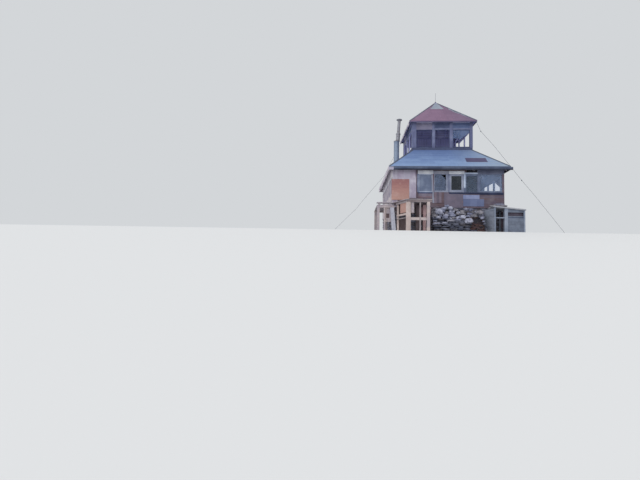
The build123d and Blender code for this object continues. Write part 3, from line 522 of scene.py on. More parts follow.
# Sawn edge boards of the eaves, dark; the foot board under each edge board is painted shadow, one shadow line under
# each roof
EAVE_BOARDS = SawnTimber("slate_edge_boards", "48526a", "31384b", "596379", "3f475d", mixed=0.5)
EAVE_SHADOW_BOARDS = SawnTimber("eave_shadow_boards", "2f3445", "20242f", "3b4152", "282c3a", mixed=0.5)
UPPER_EAVE = SawnTimber("plum_edge_boards", "6b6282", "4a4460", "7a7190", "5c5676", mixed=0.5)
UPPER_SHADOW_BOARDS = SawnTimber("upper_eave_shadow_boards", "4d4d69", "37374d", "5a597a", "43425d", mixed=0.5)
EAVE_END = SawnTimber("lavender_eave_end", "a09db1", "6d6a7e", "afacbe", "8f8ca2", mixed=0.6)
# Sawn framing, sheathing and lining under old thin pale blue-grey paint: partly the paint's own colour and partly
# painted light, paler and bluer for the sky light that comes in at the windows and under the eaves. The left soffit
# sheathing and the lower rafters are near white: painted light on undersides in shade
EAVE_FRAME = SawnTimber("lit_fir_rafters", "dad5dd", "a7a1ab", "e5e1e7", "c5bfca", Grain.ALONG_Z, 60, 500)
ROUGH_FRAME = SawnTimber("painted_fir_frame", "a9a9b8", "6f6e7d", "b9b8c4", "9a99aa", Grain.ALONG_Z, 60, 500)
SHEATHING_X = SawnTimber("painted_sheathing_x", "a3a3b4", "6b6a79", "b4b4c1", "9190a2", Grain.ALONG_X, board_mm=140)
SHEATHING_Y = SawnTimber("painted_sheathing_y", "a7a2af", "716c79", "b7b1bc", "938e9e", Grain.ALONG_Y, board_mm=140)
SOFFIT_Y = SawnTimber("lit_soffit_sheathing_y", "e8e3ea", "b5afbc", "efebf1", "d2ccd8", Grain.ALONG_Y, board_mm=140)
ATTIC = ("a9acd9", "7b7eac", "b7bae2", "9a9dcb")
ATTIC_FRAME = SawnTimber("painted_attic_frame", *ATTIC, Grain.ALONG_Z, 60, 500)
ATTIC_X = SawnTimber("painted_attic_x", *ATTIC, Grain.ALONG_X, board_mm=140)
ATTIC_Y = SawnTimber("painted_attic_y", *ATTIC, Grain.ALONG_Y, board_mm=140)
LINING = SawnTimber("cupola_lining_boards", "a6a9d8", "7b7eac", "b4b7e1", "979ac9", Grain.ALONG_Z, board_mm=140)
INSIDE = SawnTimber("cabin_lining_boards", "a7b0c2", "7a8399", "b6becd", "98a2b5", mixed=0.6)
FLOOR_BOARDS = SawnTimber("fir_floor_boards", "8d8078", "5a504b", "9b8f86", "7b6f69", Grain.ALONG_X, board_mm=130)
# Rolled steel sheet with a zinc coat: cloudy blue grey with a soft shine, streaked down the slope
ZINC_SHEET = RoofSheet(
    "weathered_zinc_sheet", "7089b7", "839dc7", "657caa", rusty=0.0, high="5d73a5", low="87a2c9", right="96a6b6"
)
BARE_SHEET = RoofSheet("bare_zinc_patch", "8892a4", "a8b0bd", "7c8798", rusty=0.0)
# Pale strips at the courses' lower edges: painted highlight of the light on each lap
SEAM_HIGHLIGHT = RoofSheet("painted_highlight_sheet_butts", "7d95c0", "8ba2ca", "6f87b3", rusty=0.0)
DRIP_METAL = RoofSheet("slate_drip_edge", "59647c", "667189", "4a546b", rusty=0.0)
HIP_METAL = RoofSheet("folded_hip_metal", "4c5568", "616b7f", "3a4254", rusty=0.1)
PIPE_METAL = RoofSheet("rolled_stove_pipe", "74839b", "8b99ad", "56637a", rusty=0.15, streak_mm=40)
OLD_PIPE = RoofSheet("older_stove_pipe", "83858f", "9a9ba3", "62646f", rust="6f5b58", rusty=0.35, streak_mm=40)
STEEL_WIRE = RoofSheet("galvanised_wire", "5b5f69", "70747e", "43464e", rusty=0.2, metallic=0.6)
# Rolled steel sheet under brushed paint: flat oxide red, maroon and blue, rubbed pale in places
# Its right tint is painted shade: the upper roof darker on its right side, away from the light
RED_SHEET = RoofSheet(
    "faded_oxide_sheet", "745974", "816580", "634e6a", rusty=0.03, metallic=0.1, roughness=0.6, right="625570"
)
WORN_SHEET = RoofSheet("worn_through_paint", "84899a", "979dab", "6d6f86", rusty=0.0, metallic=0.1)
MAROON_SHEET = RoofSheet("maroon_painted_patch", "443e61", "4d476a", "3f3a59", rusty=0.0, metallic=0.1)
PURPLE_SHEET = RoofSheet("mauve_painted_sheet", "5b5567", "6c6375", "54506a", rust="7b5a5c", rusty=0.35, metallic=0.1)
BLUE_SHEET = RoofSheet("blue_painted_sheet", "6f79a0", "8089ac", "5f688d", rusty=0.0, metallic=0.1)
DEEP_SHEET = RoofSheet("deep_blue_sheet", "556084", "636e92", "475272", rusty=0.0, metallic=0.1)
FOOT_SHEET = RoofSheet("slate_flashing_sheet", "363f5e", "414a6b", "2b3350", rusty=0.0, metallic=0.1)
# Split field stone: rough blocks in mixed greys, with iron stain and packed earth in the bank's hollow. The bank's
# core is near black, so that it shows in the gaps as painted shade between the stones
BLOCKS = LaidStone("dry_laid_blocks", "6a6c80", "8b8da0", "484a57", "7b7672")
RUBBLE = LaidStone("pale_loose_blocks", "7d8199", "b2b5c8", "3e4152", "87817e")
SLABS = LaidStone("dark_flat_slabs", "454959", "696c7c", "292b34", "595351")
RUST_STONE = LaidStone("iron_stained_stone", "4a3a40", "65524f", "271f23", "553c3a")
WALL_CORE = LaidStone("packed_wall_core", "605e69", "6b6974", "47454e", "635c5a")
CORE = LaidStone("earth_core_gap_shade", "2c2a31", "35333b", "1c1b21", "33292c")
# Cast concrete: an even warm grey, finely mottled
CONCRETE = LaidStone("cast_concrete", "8a8883", "a09e98", "6a6863", "8f8a80")
# Peeled fir plywood: orange brown, the one warm sheet on the front
DOOR_PLY = Plywood("fir_plywood_sheet", "a97d77", "8b6365", "b39692", "b59389")
# Drawn glass: from clear to almost hidden by dust, so that each pane has its own tone. The tints are partly dust and
# partly painted reflection, and the darkest one is a sheet of painted shade for the dark room behind the third window
FILM_GLASS = OldGlass("dust_and_reflection_glass", "5f6d89", 0.6)
DARK_GLASS = OldGlass("open_window_shade_glass", "20272f", 0.84)
DEEP_GLASS = OldGlass("dull_window_glass", "3f4c60", 0.78)
HAZE_GLASS = OldGlass("sky_lit_window_glass", "a2bae6", 0.18)
# Its blue tint is partly painted reflection
CUPOLA_GLASS = OldGlass("broken_cupola_glass", "4c5f86", 0.85)
CLEAR_GLASS = OldGlass("thin_window_glass", "5c6a86", 0.12)
# Matt paint on a studio floor: pale, without shine
STUDIO = PlainFloor("matt_pale_floor", "d9dbdd")


def clipped(outline: list[Point], point: Point, inward: Point) -> list[Point]:
    """Cuts a flat convex outline by one line.

    Args:
        outline: Corners in order, as two numbers each.
        point: A point on the line.
        inward: The direction that is kept.

    Returns:
        The corners that are left.
    """
    kept: list[Point] = []
    for a, b in zip(outline, [*outline[1:], outline[0]]):
        da = (a[0] - point[0]) * inward[0] + (a[1] - point[1]) * inward[1]
        db = (b[0] - point[0]) * inward[0] + (b[1] - point[1]) * inward[1]
        if da >= 0:
            kept.append(a)
        if da * db < 0:
            t = da / (da - db)
            kept.append((a[0] + (b[0] - a[0]) * t, a[1] + (b[1] - a[1]) * t))
    return kept


def spans(low: float, high: float, cuts: Sequence[Pair]) -> list[Pair]:
    """What is left of a length after cuts.

    Args:
        low: Where it starts.
        high: Where it ends.
        cuts: Parts taken out.

    Returns:
        The parts left, in order.
    """
    left, at = [], low
    for start, end in sorted(cuts):
        if start > at:
            left.append((at, min(start, high)))
        at = max(at, end)
    if at < high:
        left.append((at, high))
    return [(a, b) for a, b in left if b - a > 0.004]


def wear(made: bpy.types.Object, wide: float) -> None:
    """Bevels an object's sharp edges, as wear does.

    Args:
        made: The object.
        wide: How wide the worn edge is.
    """
    edge = made.modifiers.new("worn_edges", "BEVEL")
    edge.width = wide
    edge.segments = 1
    edge.limit_method = "ANGLE"


class Carcass:
    """A mesh under construction. Its parts stay loose, so that each takes its own tone."""

    def __init__(self, seed: int) -> None:
        """Starts an empty mesh with its own run of chance.

        Args:
            seed: Where its run of chance starts.
        """
        self.mesh = bmesh.new()
        self.grain = self.mesh.loops.layers.uv.new(GRAIN_MAP)
        self.rng = random.Random(seed)

    def chance(self, size: float) -> float:
        """A number from minus size to size."""
        return self.rng.uniform(-size, size)

    def prism(
        self,
        outline: Sequence[Point],
        push: Point,
        along: Point,
        side: Side = Side.FRONT,
        paint: int = 0,
    ) -> None:
        """Adds a prism.

        Args:
            outline: The corners of one end, from the cabin's middle.
            push: From that end to the other.
            along: The direction of the grain.
            side: The side that it goes to.
            paint: The number of its material.
        """
        zero = Vector((0, 0, 0))
        near = [self.mesh.verts.new(turned(p, side)) for p in outline]
        step = turned(push, side, zero)
        far = [self.mesh.verts.new(v.co + step) for v in near]
        count = len(near)
        faces = [self.mesh.faces.new(near), self.mesh.faces.new(far[::-1])]
        for i in range(count):
            j = (i + 1) % count
            faces.append(self.mesh.faces.new((near[j], near[i], far[i], far[j])))
        self.line_up(faces, turned(along, side, zero), paint)

    def line_up(self, faces: Sequence[bmesh.types.BMFace], along: Vector, paint: int) -> None:
        """Lays the grain map on faces, with a chance offset, and paints them.

        Args:
            faces: The faces of one part.
            along: The direction of the grain.
            paint: The number of their material.
        """
        along = along.normalized()
        offset = (self.rng.uniform(0, 40), self.rng.uniform(0, 40))
        for face in faces:
            face.normal_update()
            face.material_index = paint
            normal = face.normal
            if abs(normal.dot(along)) > 0.85:
                u_way = normal.orthogonal().normalized() * 0.4
            else:
                u_way = along
            v_way = normal.cross(u_way)
            if v_way.length > 1e-6 and u_way is along:
                v_way.normalize()
            for loop in face.loops:
                co = loop.vert.co
                loop[self.grain].uv = (co.dot(u_way) + offset[0], co.dot(v_way) + offset[1])

    def board(self, lo: Point, hi: Point, grain: str = "x", side: Side = Side.FRONT, paint: int = 0) -> None:
        """Adds a straight board.

        Args:
            lo: Lowest corner, from the cabin's middle.
            hi: Highest corner.
            grain: The axis that its grain follows.
            side: The side that it goes to.
            paint: The number of its material.
        """
        (x0, y0, z0), (x1, y1, z1) = lo, hi
        along = {"x": (1, 0, 0), "y": (0, 1, 0), "z": (0, 0, 1)}[grain]
        self.prism([(x0, y0, z0), (x1, y0, z0), (x1, y1, z0), (x0, y1, z0)], (0, 0, z1 - z0), along, side, paint)

    def sash(self, hole: Opening, rails: Opening, faces: Pair, side: Side = Side.FRONT, paint: int = 0) -> None:
        """Adds a sash of two stiles and two rails.

        Args:
            hole: Its left, right, bottom and top.
            rails: The widths of its left, right, bottom and top members.
            faces: How far back its front and its rear lie.
            side: The side that it goes to.
            paint: The number of its material.
        """
        (x0, x1, low, high), (left, right, bottom, top), (front, rear) = hole, rails, faces
        self.board((x0, front, low), (x0 + left, rear, high), "z", side, paint)
        self.board((x1 - right, front, low), (x1, rear, high), "z", side, paint)
        self.board((x0 + left, front, low), (x1 - right, rear, low + bottom), "x", side, paint)
        self.board((x0 + left, front, high - top), (x1 - right, rear, high), "x", side, paint)

    def beam(self, start: Point, end: Point, wide: float, deep: float, paint: int = 0, spin: float = 0.0) -> None:
        """Adds a squared timber between two points.

        Args:
            start: The middle of one end, from the cabin's middle.
            end: The middle of the other end.
            wide: Its width, level.
            deep: Its other size.
            paint: The number of its material.
            spin: Its turn round its own length, in degrees.
        """
        a, b = Vector(start), Vector(end)
        way = (b - a).normalized()
        level = Vector((0, 0, 1)).cross(way)
        if level.length < 0.05:
            level = Vector((1, 0, 0))
        level.normalize()
        level.rotate(Matrix.Rotation(math.radians(spin), 3, way))
        up = way.cross(level)
        corners = [a + level * (wide / 2 * i) + up * (deep / 2 * j) for i, j in ((-1, -1), (1, -1), (1, 1), (-1, 1))]
        self.prism([tuple(c) for c in corners], tuple(b - a), tuple(way), paint=paint)

    def tube(self, start: Point, end: Point, radii: Pair, count: int = 32, paint: int = 0, bore: float = 0.0) -> None:
        """Adds a round bar, cone or pipe.

        Args:
            start: The middle of one end, from the cabin's middle.
            end: The middle of the other end.
            radii: Its radius at each end.
            count: How many sides stand for the round.
            paint: The number of its material.
            bore: The wall's thickness, or 0 where it is solid.
        """
        a, b = Vector(start) + SHIFT, Vector(end) + SHIFT
        way = (b - a).normalized()
        u = way.orthogonal().normalized()
        v = way.cross(u)
        shells = [radii] if not bore else [radii, (radii[0] - bore, radii[1] - bore)]
        rings: list[list[bmesh.types.BMVert]] = []
        for low, high in shells:
            for centre, radius in ((a, low), (b, high)):
                ring = []
                for i in range(count):
                    t = 2 * math.pi * i / count
                    ring.append(self.mesh.verts.new(centre + (u * math.cos(t) + v * math.sin(t)) * radius))
                rings.append(ring)
        faces = []
        for i in range(count):
            j = (i + 1) % count
            quads = [(rings[0][i], rings[0][j], rings[1][j], rings[1][i])]
            if bore:
                quads.append((rings[2][j], rings[2][i], rings[3][i], rings[3][j]))
                quads.append((rings[0][j], rings[0][i], rings[2][i], rings[2][j]))
                quads.append((rings[1][i], rings[1][j], rings[3][j], rings[3][i]))
            for number, quad in enumerate(quads):
                faces.append(self.mesh.faces.new(quad))
                faces[-1].smooth = number < 2
        if not bore:
            faces.append(self.mesh.faces.new(rings[0][::-1]))
            faces.append(self.mesh.faces.new(rings[1]))
        self.line_up(faces, way, paint)

    def stone(
        self,
        middle: Point,
        size: Point,
        side: Side = Side.FRONT,
        fine: int = 1,
        spin: float = 0.0,
        paint: int = 0,
        square: float = 0.72,
    ) -> None:
        """Adds one split stone.

        Args:
            middle: Its centre, from the cabin's middle.
            size: Its full sizes.
            side: The side that it goes to.
            fine: How finely it is broken up.
            spin: How far it may be turned, in degrees.
            paint: The number of its material.
            square: How near it is to a block, 0 to 1.
        """
        made = bmesh.ops.create_icosphere(self.mesh, subdivisions=fine, radius=1.0)["verts"]
        for face in {face for vert in made for face in vert.link_faces}:
            face.material_index = paint
        seed = Vector((self.rng.uniform(0, 90), self.rng.uniform(0, 90), self.rng.uniform(0, 90)))
        tilt = Matrix.Rotation(math.radians(self.chance(spin)), 3, "Z")
        tilt = tilt @ Matrix.Rotation(math.radians(self.chance(spin * 0.6)), 3, "Y")
        for vert in made:
            p = vert.co.copy()
            top = max(abs(p.x), abs(p.y), abs(p.z))
            p = p.lerp(p / top, square)
            p *= 1 + 0.24 * noise.noise(p * 1.3 + seed)
            p = Vector((p.x * size[0] / 2, p.y * size[1] / 2, p.z * size[2] / 2))
            p.rotate(tilt)
            vert.co = turned((middle[0] + p.x, middle[1] + p.y, middle[2] + p.z), side)
        for vert in made:
            if vert.co.z < 0.002:
                vert.co.z = 0.002

    def piece(
        self,
        name: str,
        finishes: Sequence[Finish],
        nodes: Sequence[str] = (),
        bevel: float = 0.0,
    ) -> bpy.types.Object:
        """Ends the mesh as a piece of the object.

        Args:
            name: The piece's name.
            finishes: Its materials, in the order of its paints.
            nodes: The CAD nodes that it stands for.
            bevel: The width of its worn edges.

        Returns:
            The new object.
        """
        bmesh.ops.recalc_face_normals(self.mesh, faces=self.mesh.faces[:])
        data = bpy.data.meshes.new(name)
        self.mesh.to_mesh(data)
        self.mesh.free()
        for finish in finishes:
            data.materials.append(finish.material())
        made = bpy.data.objects.new(name, data)
        bpy.context.scene.collection.objects.link(made)
        if bevel:
            wear(made, bevel)
        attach(made, "root")
        if nodes:
            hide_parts(*nodes)
        log.info("%s: %d faces", name, len(data.polygons))
        return made


def dress(frame: dict[str, Any], finish: Finish, *nodes: str, bevel: float = 0.0) -> None:
    """Gives CAD nodes their finish and, where asked, worn edges.

    Args:
        finish: The finish.
        nodes: The CAD nodes.
        bevel: The width of their worn edges.
    """
    for name in nodes:
        node = frame["nodes"][name]
        if not node.material_slots:
            node.data.materials.append(None)
        for held in node.material_slots:
            held.material = finish.material()
        if bevel:
            node.modifiers.new("joined_corners", "WELD").merge_threshold = 0.0002
            wear(node, bevel)
        log.info("%s dressed as %s", name, finish.name)


@dataclass
class StoneBase:
    """The dry stone walls under the cabin and the loose stone banked against their front."""

    outer: float = 3.62
    inner: float = 3.16
    top: float = 1.75
    joint: float = 0.06
    bank_left: float = -1.10
    bank_right: float = 2.12
    bank_top: float = 1.5
    bank_out: float = 1.08
    block_level: float = 0.8
    course: Pair = (0.1, 0.24)
    block: Pair = (0.2, 0.7)
    block_deep: float = 0.34
    core_profile: tuple[Pair, ...] = ((0.0, 1.3), (0.28, 1.2), (0.72, 0.42), (0.86, 0.0))
    chunk_wide: Pair = (0.2, 0.46)
    slab_wide: Pair = (0.3, 0.8)
    slab_high: Pair = (0.09, 0.17)
    hollow: tuple[float, float, float] = (1.3, 2.05, 0.95)
    peak: tuple[tuple[float, float, float, float, float], ...] = (
        (-0.3, 0.2, 1.66, 0.4, 0.2),
        (-0.12, 0.2, 1.82, 0.3, 0.2),
        (0.1, 0.22, 1.7, 0.34, 0.2),
        (1.08, 0.4, 1.6, 0.3, 0.19),
        (1.36, 0.42, 1.58, 0.28, 0.17),
        (-0.72, 0.5, 1.42, 0.5, 0.4),
        (1.08, 0.9, 0.78, 0.5, 0.34),
        (1.85, 0.62, 1.36, 0.46, 0.26),
        (-0.42, 0.24, 1.5, 0.3, 0.2),
    )

    def build(self) -> None:
        """Builds the walls and the bank."""
        self.walls()
        self.bank()

    def walls(self) -> None:
        """Lays courses of blocks round a packed core."""
        stones = Carcass(11)
        for side in Side:
            z = 0.0
            while z < self.top - 0.03:
                high = min(stones.rng.uniform(*self.course), self.top - z)
                if self.top - z - high < 0.08:
                    high = self.top - z
                x = -self.outer
                while x < self.outer - 0.02:
                    wide = min(stones.rng.uniform(*self.block), self.outer - x)
                    if self.outer - x - wide < 0.14:
                        wide = self.outer - x
                    front = self.outer - stones.rng.uniform(0.0, 0.03)
                    middle = (x + wide / 2, -front + self.block_deep / 2, z + high / 2)
                    stones.stone(middle, (wide * 1.09, self.block_deep, high * 1.22), side, square=0.8)
                    x += wide
                z += high
        core = self.outer - self.joint
        for side in Side:
            reach = core if side in (Side.FRONT, Side.BACK) else self.inner
            stones.board((-reach, -core, 0.0), (reach, -self.inner, self.top), "x", side, 1)
        stones.piece("foundation_stones", [BLOCKS, WALL_CORE], ["stone_foundation"])

    def bank(self) -> None:
        """Heaps loose stone on an earth core: chunky pale blocks above, dark flat slabs below."""
        stones = Carcass(23)
        face = -self.outer
        outline = [(self.bank_left + 0.1, face, 0.0)]
        outline += [(self.bank_left + 0.1, face - out, z) for out, z in self.core_profile]
        # The near-black core behind the stones: painted shade in the gaps between them
        stones.prism(outline, (self.bank_right - self.bank_left - 0.2, 0, 0), (1, 0, 0), paint=3)
        level = 0.0
        while level < self.bank_top:
            blocks = level > self.block_level
            share = level / self.bank_top
            out = self.bank_out * (1 - share) ** 0.8 + 0.05
            x = self.bank_left
            while x < self.bank_right:
                if blocks:
                    wide = stones.rng.uniform(*self.chunk_wide)
                    high = wide * stones.rng.uniform(0.42, 0.72)
                else:
                    wide = stones.rng.uniform(*self.slab_wide)
                    high = stones.rng.uniform(*self.slab_high)
                wide = min(wide, self.bank_right - x + 0.05)
                deep = max(0.2, wide * stones.rng.uniform(0.6, 0.9))
                lump = noise.noise(Vector((x * 1.3, level * 0.8, 5.0)))
                reach = max(0.08, out - deep * 0.45 + 0.16 * lump)
                in_hollow = self.hollow[0] < x + wide / 2 < self.hollow[1] and level < self.hollow[2]
                paint = 0 if blocks else (0 if stones.rng.random() < 0.14 else 1)
                if in_hollow:
                    reach -= 0.2
                    paint = 2
                ceiling = 1.62 - 0.12 * max(0.0, x - 0.4) + 0.08 * lump
                if level + high / 2 < ceiling:
                    middle = (x + wide / 2, face - reach, level + high / 2 + stones.rng.uniform(0.0, 0.04))
                    turn = 26 if blocks else 9
                    size = (wide, deep, high)
                    stones.stone(middle, size, fine=2, spin=turn, paint=paint, square=0.85 if blocks else 0.7)
                x += wide * (stones.rng.uniform(0.92, 1.3) if blocks else stones.rng.uniform(0.8, 1.0))
            level += 0.15 if blocks else 0.1
        for x, out, z, wide, high in self.peak:
            stones.stone((x, face - out, z), (wide, 0.3, high), fine=2, spin=18, square=0.6)
        stones.piece("rubble_stones", [RUBBLE, SLABS, RUST_STONE, CORE], ["front_rubble"])


@dataclass
class CabinWalls:
    """Clapboards over a board lining, cut for the windows."""

    half: float = 3.66
    thick: float = 0.08
    low: float = 1.75
    high: float = 4.6198
    course: float = 0.135
    sill: float = 2.79
    head: float = 4.03
    side_head: float = 3.88
    post: float = 0.055
    shares: tuple[float, ...] = (-0.546, -0.262, 0.019, 0.298, 0.548, 0.978)
    side_shares: tuple[float, ...] = (-0.7117, -0.3934, -0.1216, 0.1216, 0.3934, 0.7117)
    side_widths: tuple[float, ...] = (1.05, 0.94, 0.77, 0.77, 0.94, 1.05)
    lining: float = 0.022
    slate_from: float = 1.04
    pale_to: float = -3.34

    def posts(self) -> list[float]:
        """The middles of the posts between the front windows."""
        return [share * self.half for share in self.shares]

    def front_openings(self) -> list[Opening]:
        """The front windows, as left, right, bottom and top."""
        at = self.posts()
        return [(a + self.post, b - self.post, self.sill, self.head) for a, b in pairwise(at)]

    def side_openings(self) -> list[Opening]:
        """The windows of every other side.

        Returns:
            The openings, as left, right, bottom and top.
        """
        made = []
        for share, wide in zip(self.side_shares, self.side_widths):
            middle = share * self.half
            made.append((middle - wide / 2, middle + wide / 2, self.sill, self.side_head))
        return made

    def build(self) -> None:
        """Builds the four walls."""
        front = self.front_openings()
        gap = (self.posts()[3] + 0.125, front[3][1], self.head + 0.11, self.head + 0.29)
        sides = self.side_openings()
        inner = self.half - self.thick
        self.wall("front_siding", Side.FRONT, self.half, [*front, gap], "front_wall")
        self.wall("right_siding", Side.RIGHT, inner, sides, "right_wall")
        self.wall("back_siding", Side.BACK, self.half, sides, "back_wall")
        self.left_wall(inner, sides)

    def wall(self, name: str, side: Side, reach: float, openings: list[Opening], node: str) -> None:
        """Builds one clapboarded wall.

        Args:
            name: The piece's name.
            side: Its side of the building.
            reach: Half of its length.
            openings: Its windows.
            node: The CAD node that it stands for.
        """
        wall = Carcass(31 + side.value)
        face, behind, back = -self.half, -self.half + self.lining, -self.half + self.thick
        levels = {self.low, self.high, *(o[2] for o in openings), *(o[3] for o in openings)}
        z = self.low
        while z < self.high:
            if min(abs(z - level) for level in levels) > 0.03:
                levels.add(z)
            z += self.course
        rows = sorted(levels)
        for low, high in pairwise(rows):
            cuts = [(o[0], o[1]) for o in openings if o[2] < high - 0.001 and o[3] > low + 0.001]
            for x0, x1 in spans(-reach, reach, cuts):
                at = x0
                while at < x1:
                    end = min(x1, at + wall.rng.uniform(1.6, 3.4))
                    if at < self.slate_from < end and low > self.head - 0.01:
                        end = self.slate_from
                    if at < self.pale_to < end:
                        end = self.pale_to + 0.01
                    if x1 - end < 0.4:
                        end = x1
                    lip = wall.rng.uniform(0.0, 0.002)
                    outline = [(at, face + lip, low), (at, face + 0.011, high), (at, behind, high), (at, behind, low)]
                    slate = low > self.head - 0.01 and at > self.slate_from - 0.04
                    paint = (3 if at < self.pale_to else 2 * slate) if side is Side.FRONT else 0
                    wall.prism(outline, (end - at - 0.002, 0, 0), (1, 0, 0), side, paint)
                    at = end
        edges = {-reach, reach, *(o[0] for o in openings), *(o[1] for o in openings)}
        x = -reach
        while x < reach:
            if min(abs(x - edge) for edge in edges) > 0.04:
                edges.add(x)
            x += 0.14
        columns = sorted(edges)
        for left, right in pairwise(columns):
            cuts = [(o[2], o[3]) for o in openings if o[0] < right - 0.001 and o[1] > left + 0.001]
            for z0, z1 in spans(self.low, self.high, cuts):
                wall.board((left + 0.001, behind, z0), (right - 0.001, back, z1), "z", side, 1)
        wall.piece(name, [RED_SIDING, INSIDE, SLATE_SIDING, PALE_PANEL], [node])

    def left_wall(self, reach: float, openings: list[Opening]) -> None:
        """Builds the left wall: upright boards, a pale rail over the windows and ribs above it.

        Args:
            reach: Half of its length.
            openings: Its windows.
        """
        wall = Carcass(37)
        face, behind, back = -self.half, -self.half + self.lining, -self.half + self.thick
        edges = {-reach, reach, *(o[0] for o in openings), *(o[1] for o in openings)}
        x = -reach
        while x < reach:
            if min(abs(x - edge) for edge in edges) > 0.05:
                edges.add(x)
            x += wall.rng.uniform(0.13, 0.2)
        columns = sorted(edges)
        rail = self.head - 0.03
        for left, right in pairwise(columns):
            cuts = [(o[2], o[3]) for o in openings if o[0] < right - 0.001 and o[1] > left + 0.001]
            for z0, z1 in spans(self.low, self.high, cuts):
                wall.board((left, behind, z0), (right, back, z1), "z", Side.LEFT, 1)
            lift = wall.rng.choice((0.0, 0.004, 0.009))
            for z0, z1 in spans(self.low, rail - 0.1, cuts):
                wall.board((left + 0.003, face + lift, z0), (right - 0.003, behind, z1), "z", Side.LEFT)
        wall.board((-reach, face - 0.004, rail - 0.1), (reach, behind, rail), "x", Side.LEFT, 3)
        x = -reach
        while x < reach - 0.01:
            end = min(x + wall.rng.uniform(0.16, 0.3), reach)
            wall.board((x, face + 0.001, rail + 0.001), (end - 0.05, behind, self.high), "z", Side.LEFT, 2)
            x = end
        finishes = [GREY_SIDING, INSIDE, SOFFIT_GREY, PALE_TRIM]
        wall.piece("left_siding", finishes, ["left_wall"])


@dataclass
class CabinWindows:
    """Sashes, boards and panes of the cabin's windows."""

    walls: CabinWalls
    back: float = 0.010
    deep: float = 0.060
    stile: float = 0.045
    front_rails: tuple[Opening, ...] = (
        (0.055, 0.060, 0.060, 0.060),
        (0.050, 0.145, 0.115, 0.040),
        (0.105, 0.150, 0.160, 0.135),
        (0.065, 0.055, 0.045, 0.130),
        (0.045, 0.040, 0.110, 0.040),
    )

    def build(self, frame: dict[str, Any]) -> None:
        """Builds sashes and boards, and dresses the glass.
        """
        sashes = Carcass(41)
        front = -self.walls.half + self.back
        faces = front, front + self.deep
        for index, (hole, rails) in enumerate(zip(self.walls.front_openings(), self.front_rails)):
            sashes.sash(hole, rails, faces, Side.FRONT, (2, 0, 0, 1, 1)[index])
        even = (self.stile,) * 4
        for side in (Side.RIGHT, Side.BACK):
            for hole in self.walls.side_openings():
                sashes.sash(hole, even, faces, side)
        sashes.piece("cabin_sashes", [SASH_PAINT, DARK_SASH, FIRST_SASH], ["cabin_window_frames"], 0.004)
        boards = Carcass(43)
        face = -self.walls.half
        x0, x1, low, high = self.walls.front_openings()[0]
        left, right, bottom, top = self.front_rails[0]
        sheet = (x0 + left, face + 0.034, low + bottom), (x1 - right, face + 0.052, high - top - 0.01)
        boards.board(*sheet, "z", paint=1)
        for x0, x1, low, high in self.walls.side_openings():
            count = max(1, round((x1 - x0) / 0.15))
            for i in range(count):
                a = x0 + (x1 - x0) * i / count
                b = x0 + (x1 - x0) * (i + 1) / count - 0.003
                drop = boards.rng.choice((0.0, 0.0, 0.01, 0.03))
                boards.board((a, face + 0.02, low), (b, face + 0.045, high - drop), "z", Side.LEFT)
        for x0, x1, low, high in self.walls.side_openings()[3:]:
            for i in range(5):
                z0 = low + self.stile + (high - low - 2 * self.stile) * i / 5
                z1 = z0 + (high - low - 2 * self.stile) / 5 - 0.004
                a, b = x0 + self.stile, x1 - self.stile
                boards.board((a, face + 0.02, z0), (b, face + 0.038, z1), "x", Side.RIGHT)
        far, near = self.walls.side_openings()[0][1], self.walls.side_openings()[0][0]
        top = self.walls.side_head
        slipped = [(near, face, top - 0.7), (far, face, top - 0.09), (far, face, top), (near, face, top)]
        boards.prism(slipped, (0, -0.014, 0), (1, 0, 0), Side.RIGHT)
        boards.piece("window_planks", [BOARDED_WINDOW, WINDOW_PANEL], ["window_boards"], 0.003)
        self.panes()
        dress(frame, CLEAR_GLASS, "back_glass")

    def panes(self) -> None:
        """The front panes: a broken one, a dark one, a mirror-like one and a hazy one. Their tints are partly dust and
        partly painted reflection; the dark one is painted shade for the dark room behind it.
        """
        panes = Carcass(45)
        y0, y1 = -self.walls.half + self.back + 0.028, -self.walls.half + self.back + 0.032
        for index in range(1, 5):
            x0, x1, low, high = self.walls.front_openings()[index]
            left, right, bottom, top = self.front_rails[index]
            x0, x1, low, high = x0 + left, x1 - right, low + bottom, high - top
            outline = [(x0, y0, low), (x1, y0, low), (x1, y0, high), (x0, y0, high)]
            if index == 1:
                outline[2:3] = [(x1, y0, high - 0.43), (x1 - 0.081, y0, high - 0.211), (x1 - 0.3, y0, high)]
            panes.prism(outline, (0, y1 - y0, 0), (0, 0, 1), paint=index - 1)
        glass = [FILM_GLASS, DARK_GLASS, DEEP_GLASS, HAZE_GLASS]
        panes.piece("cabin_panes", glass, ["front_glass"])


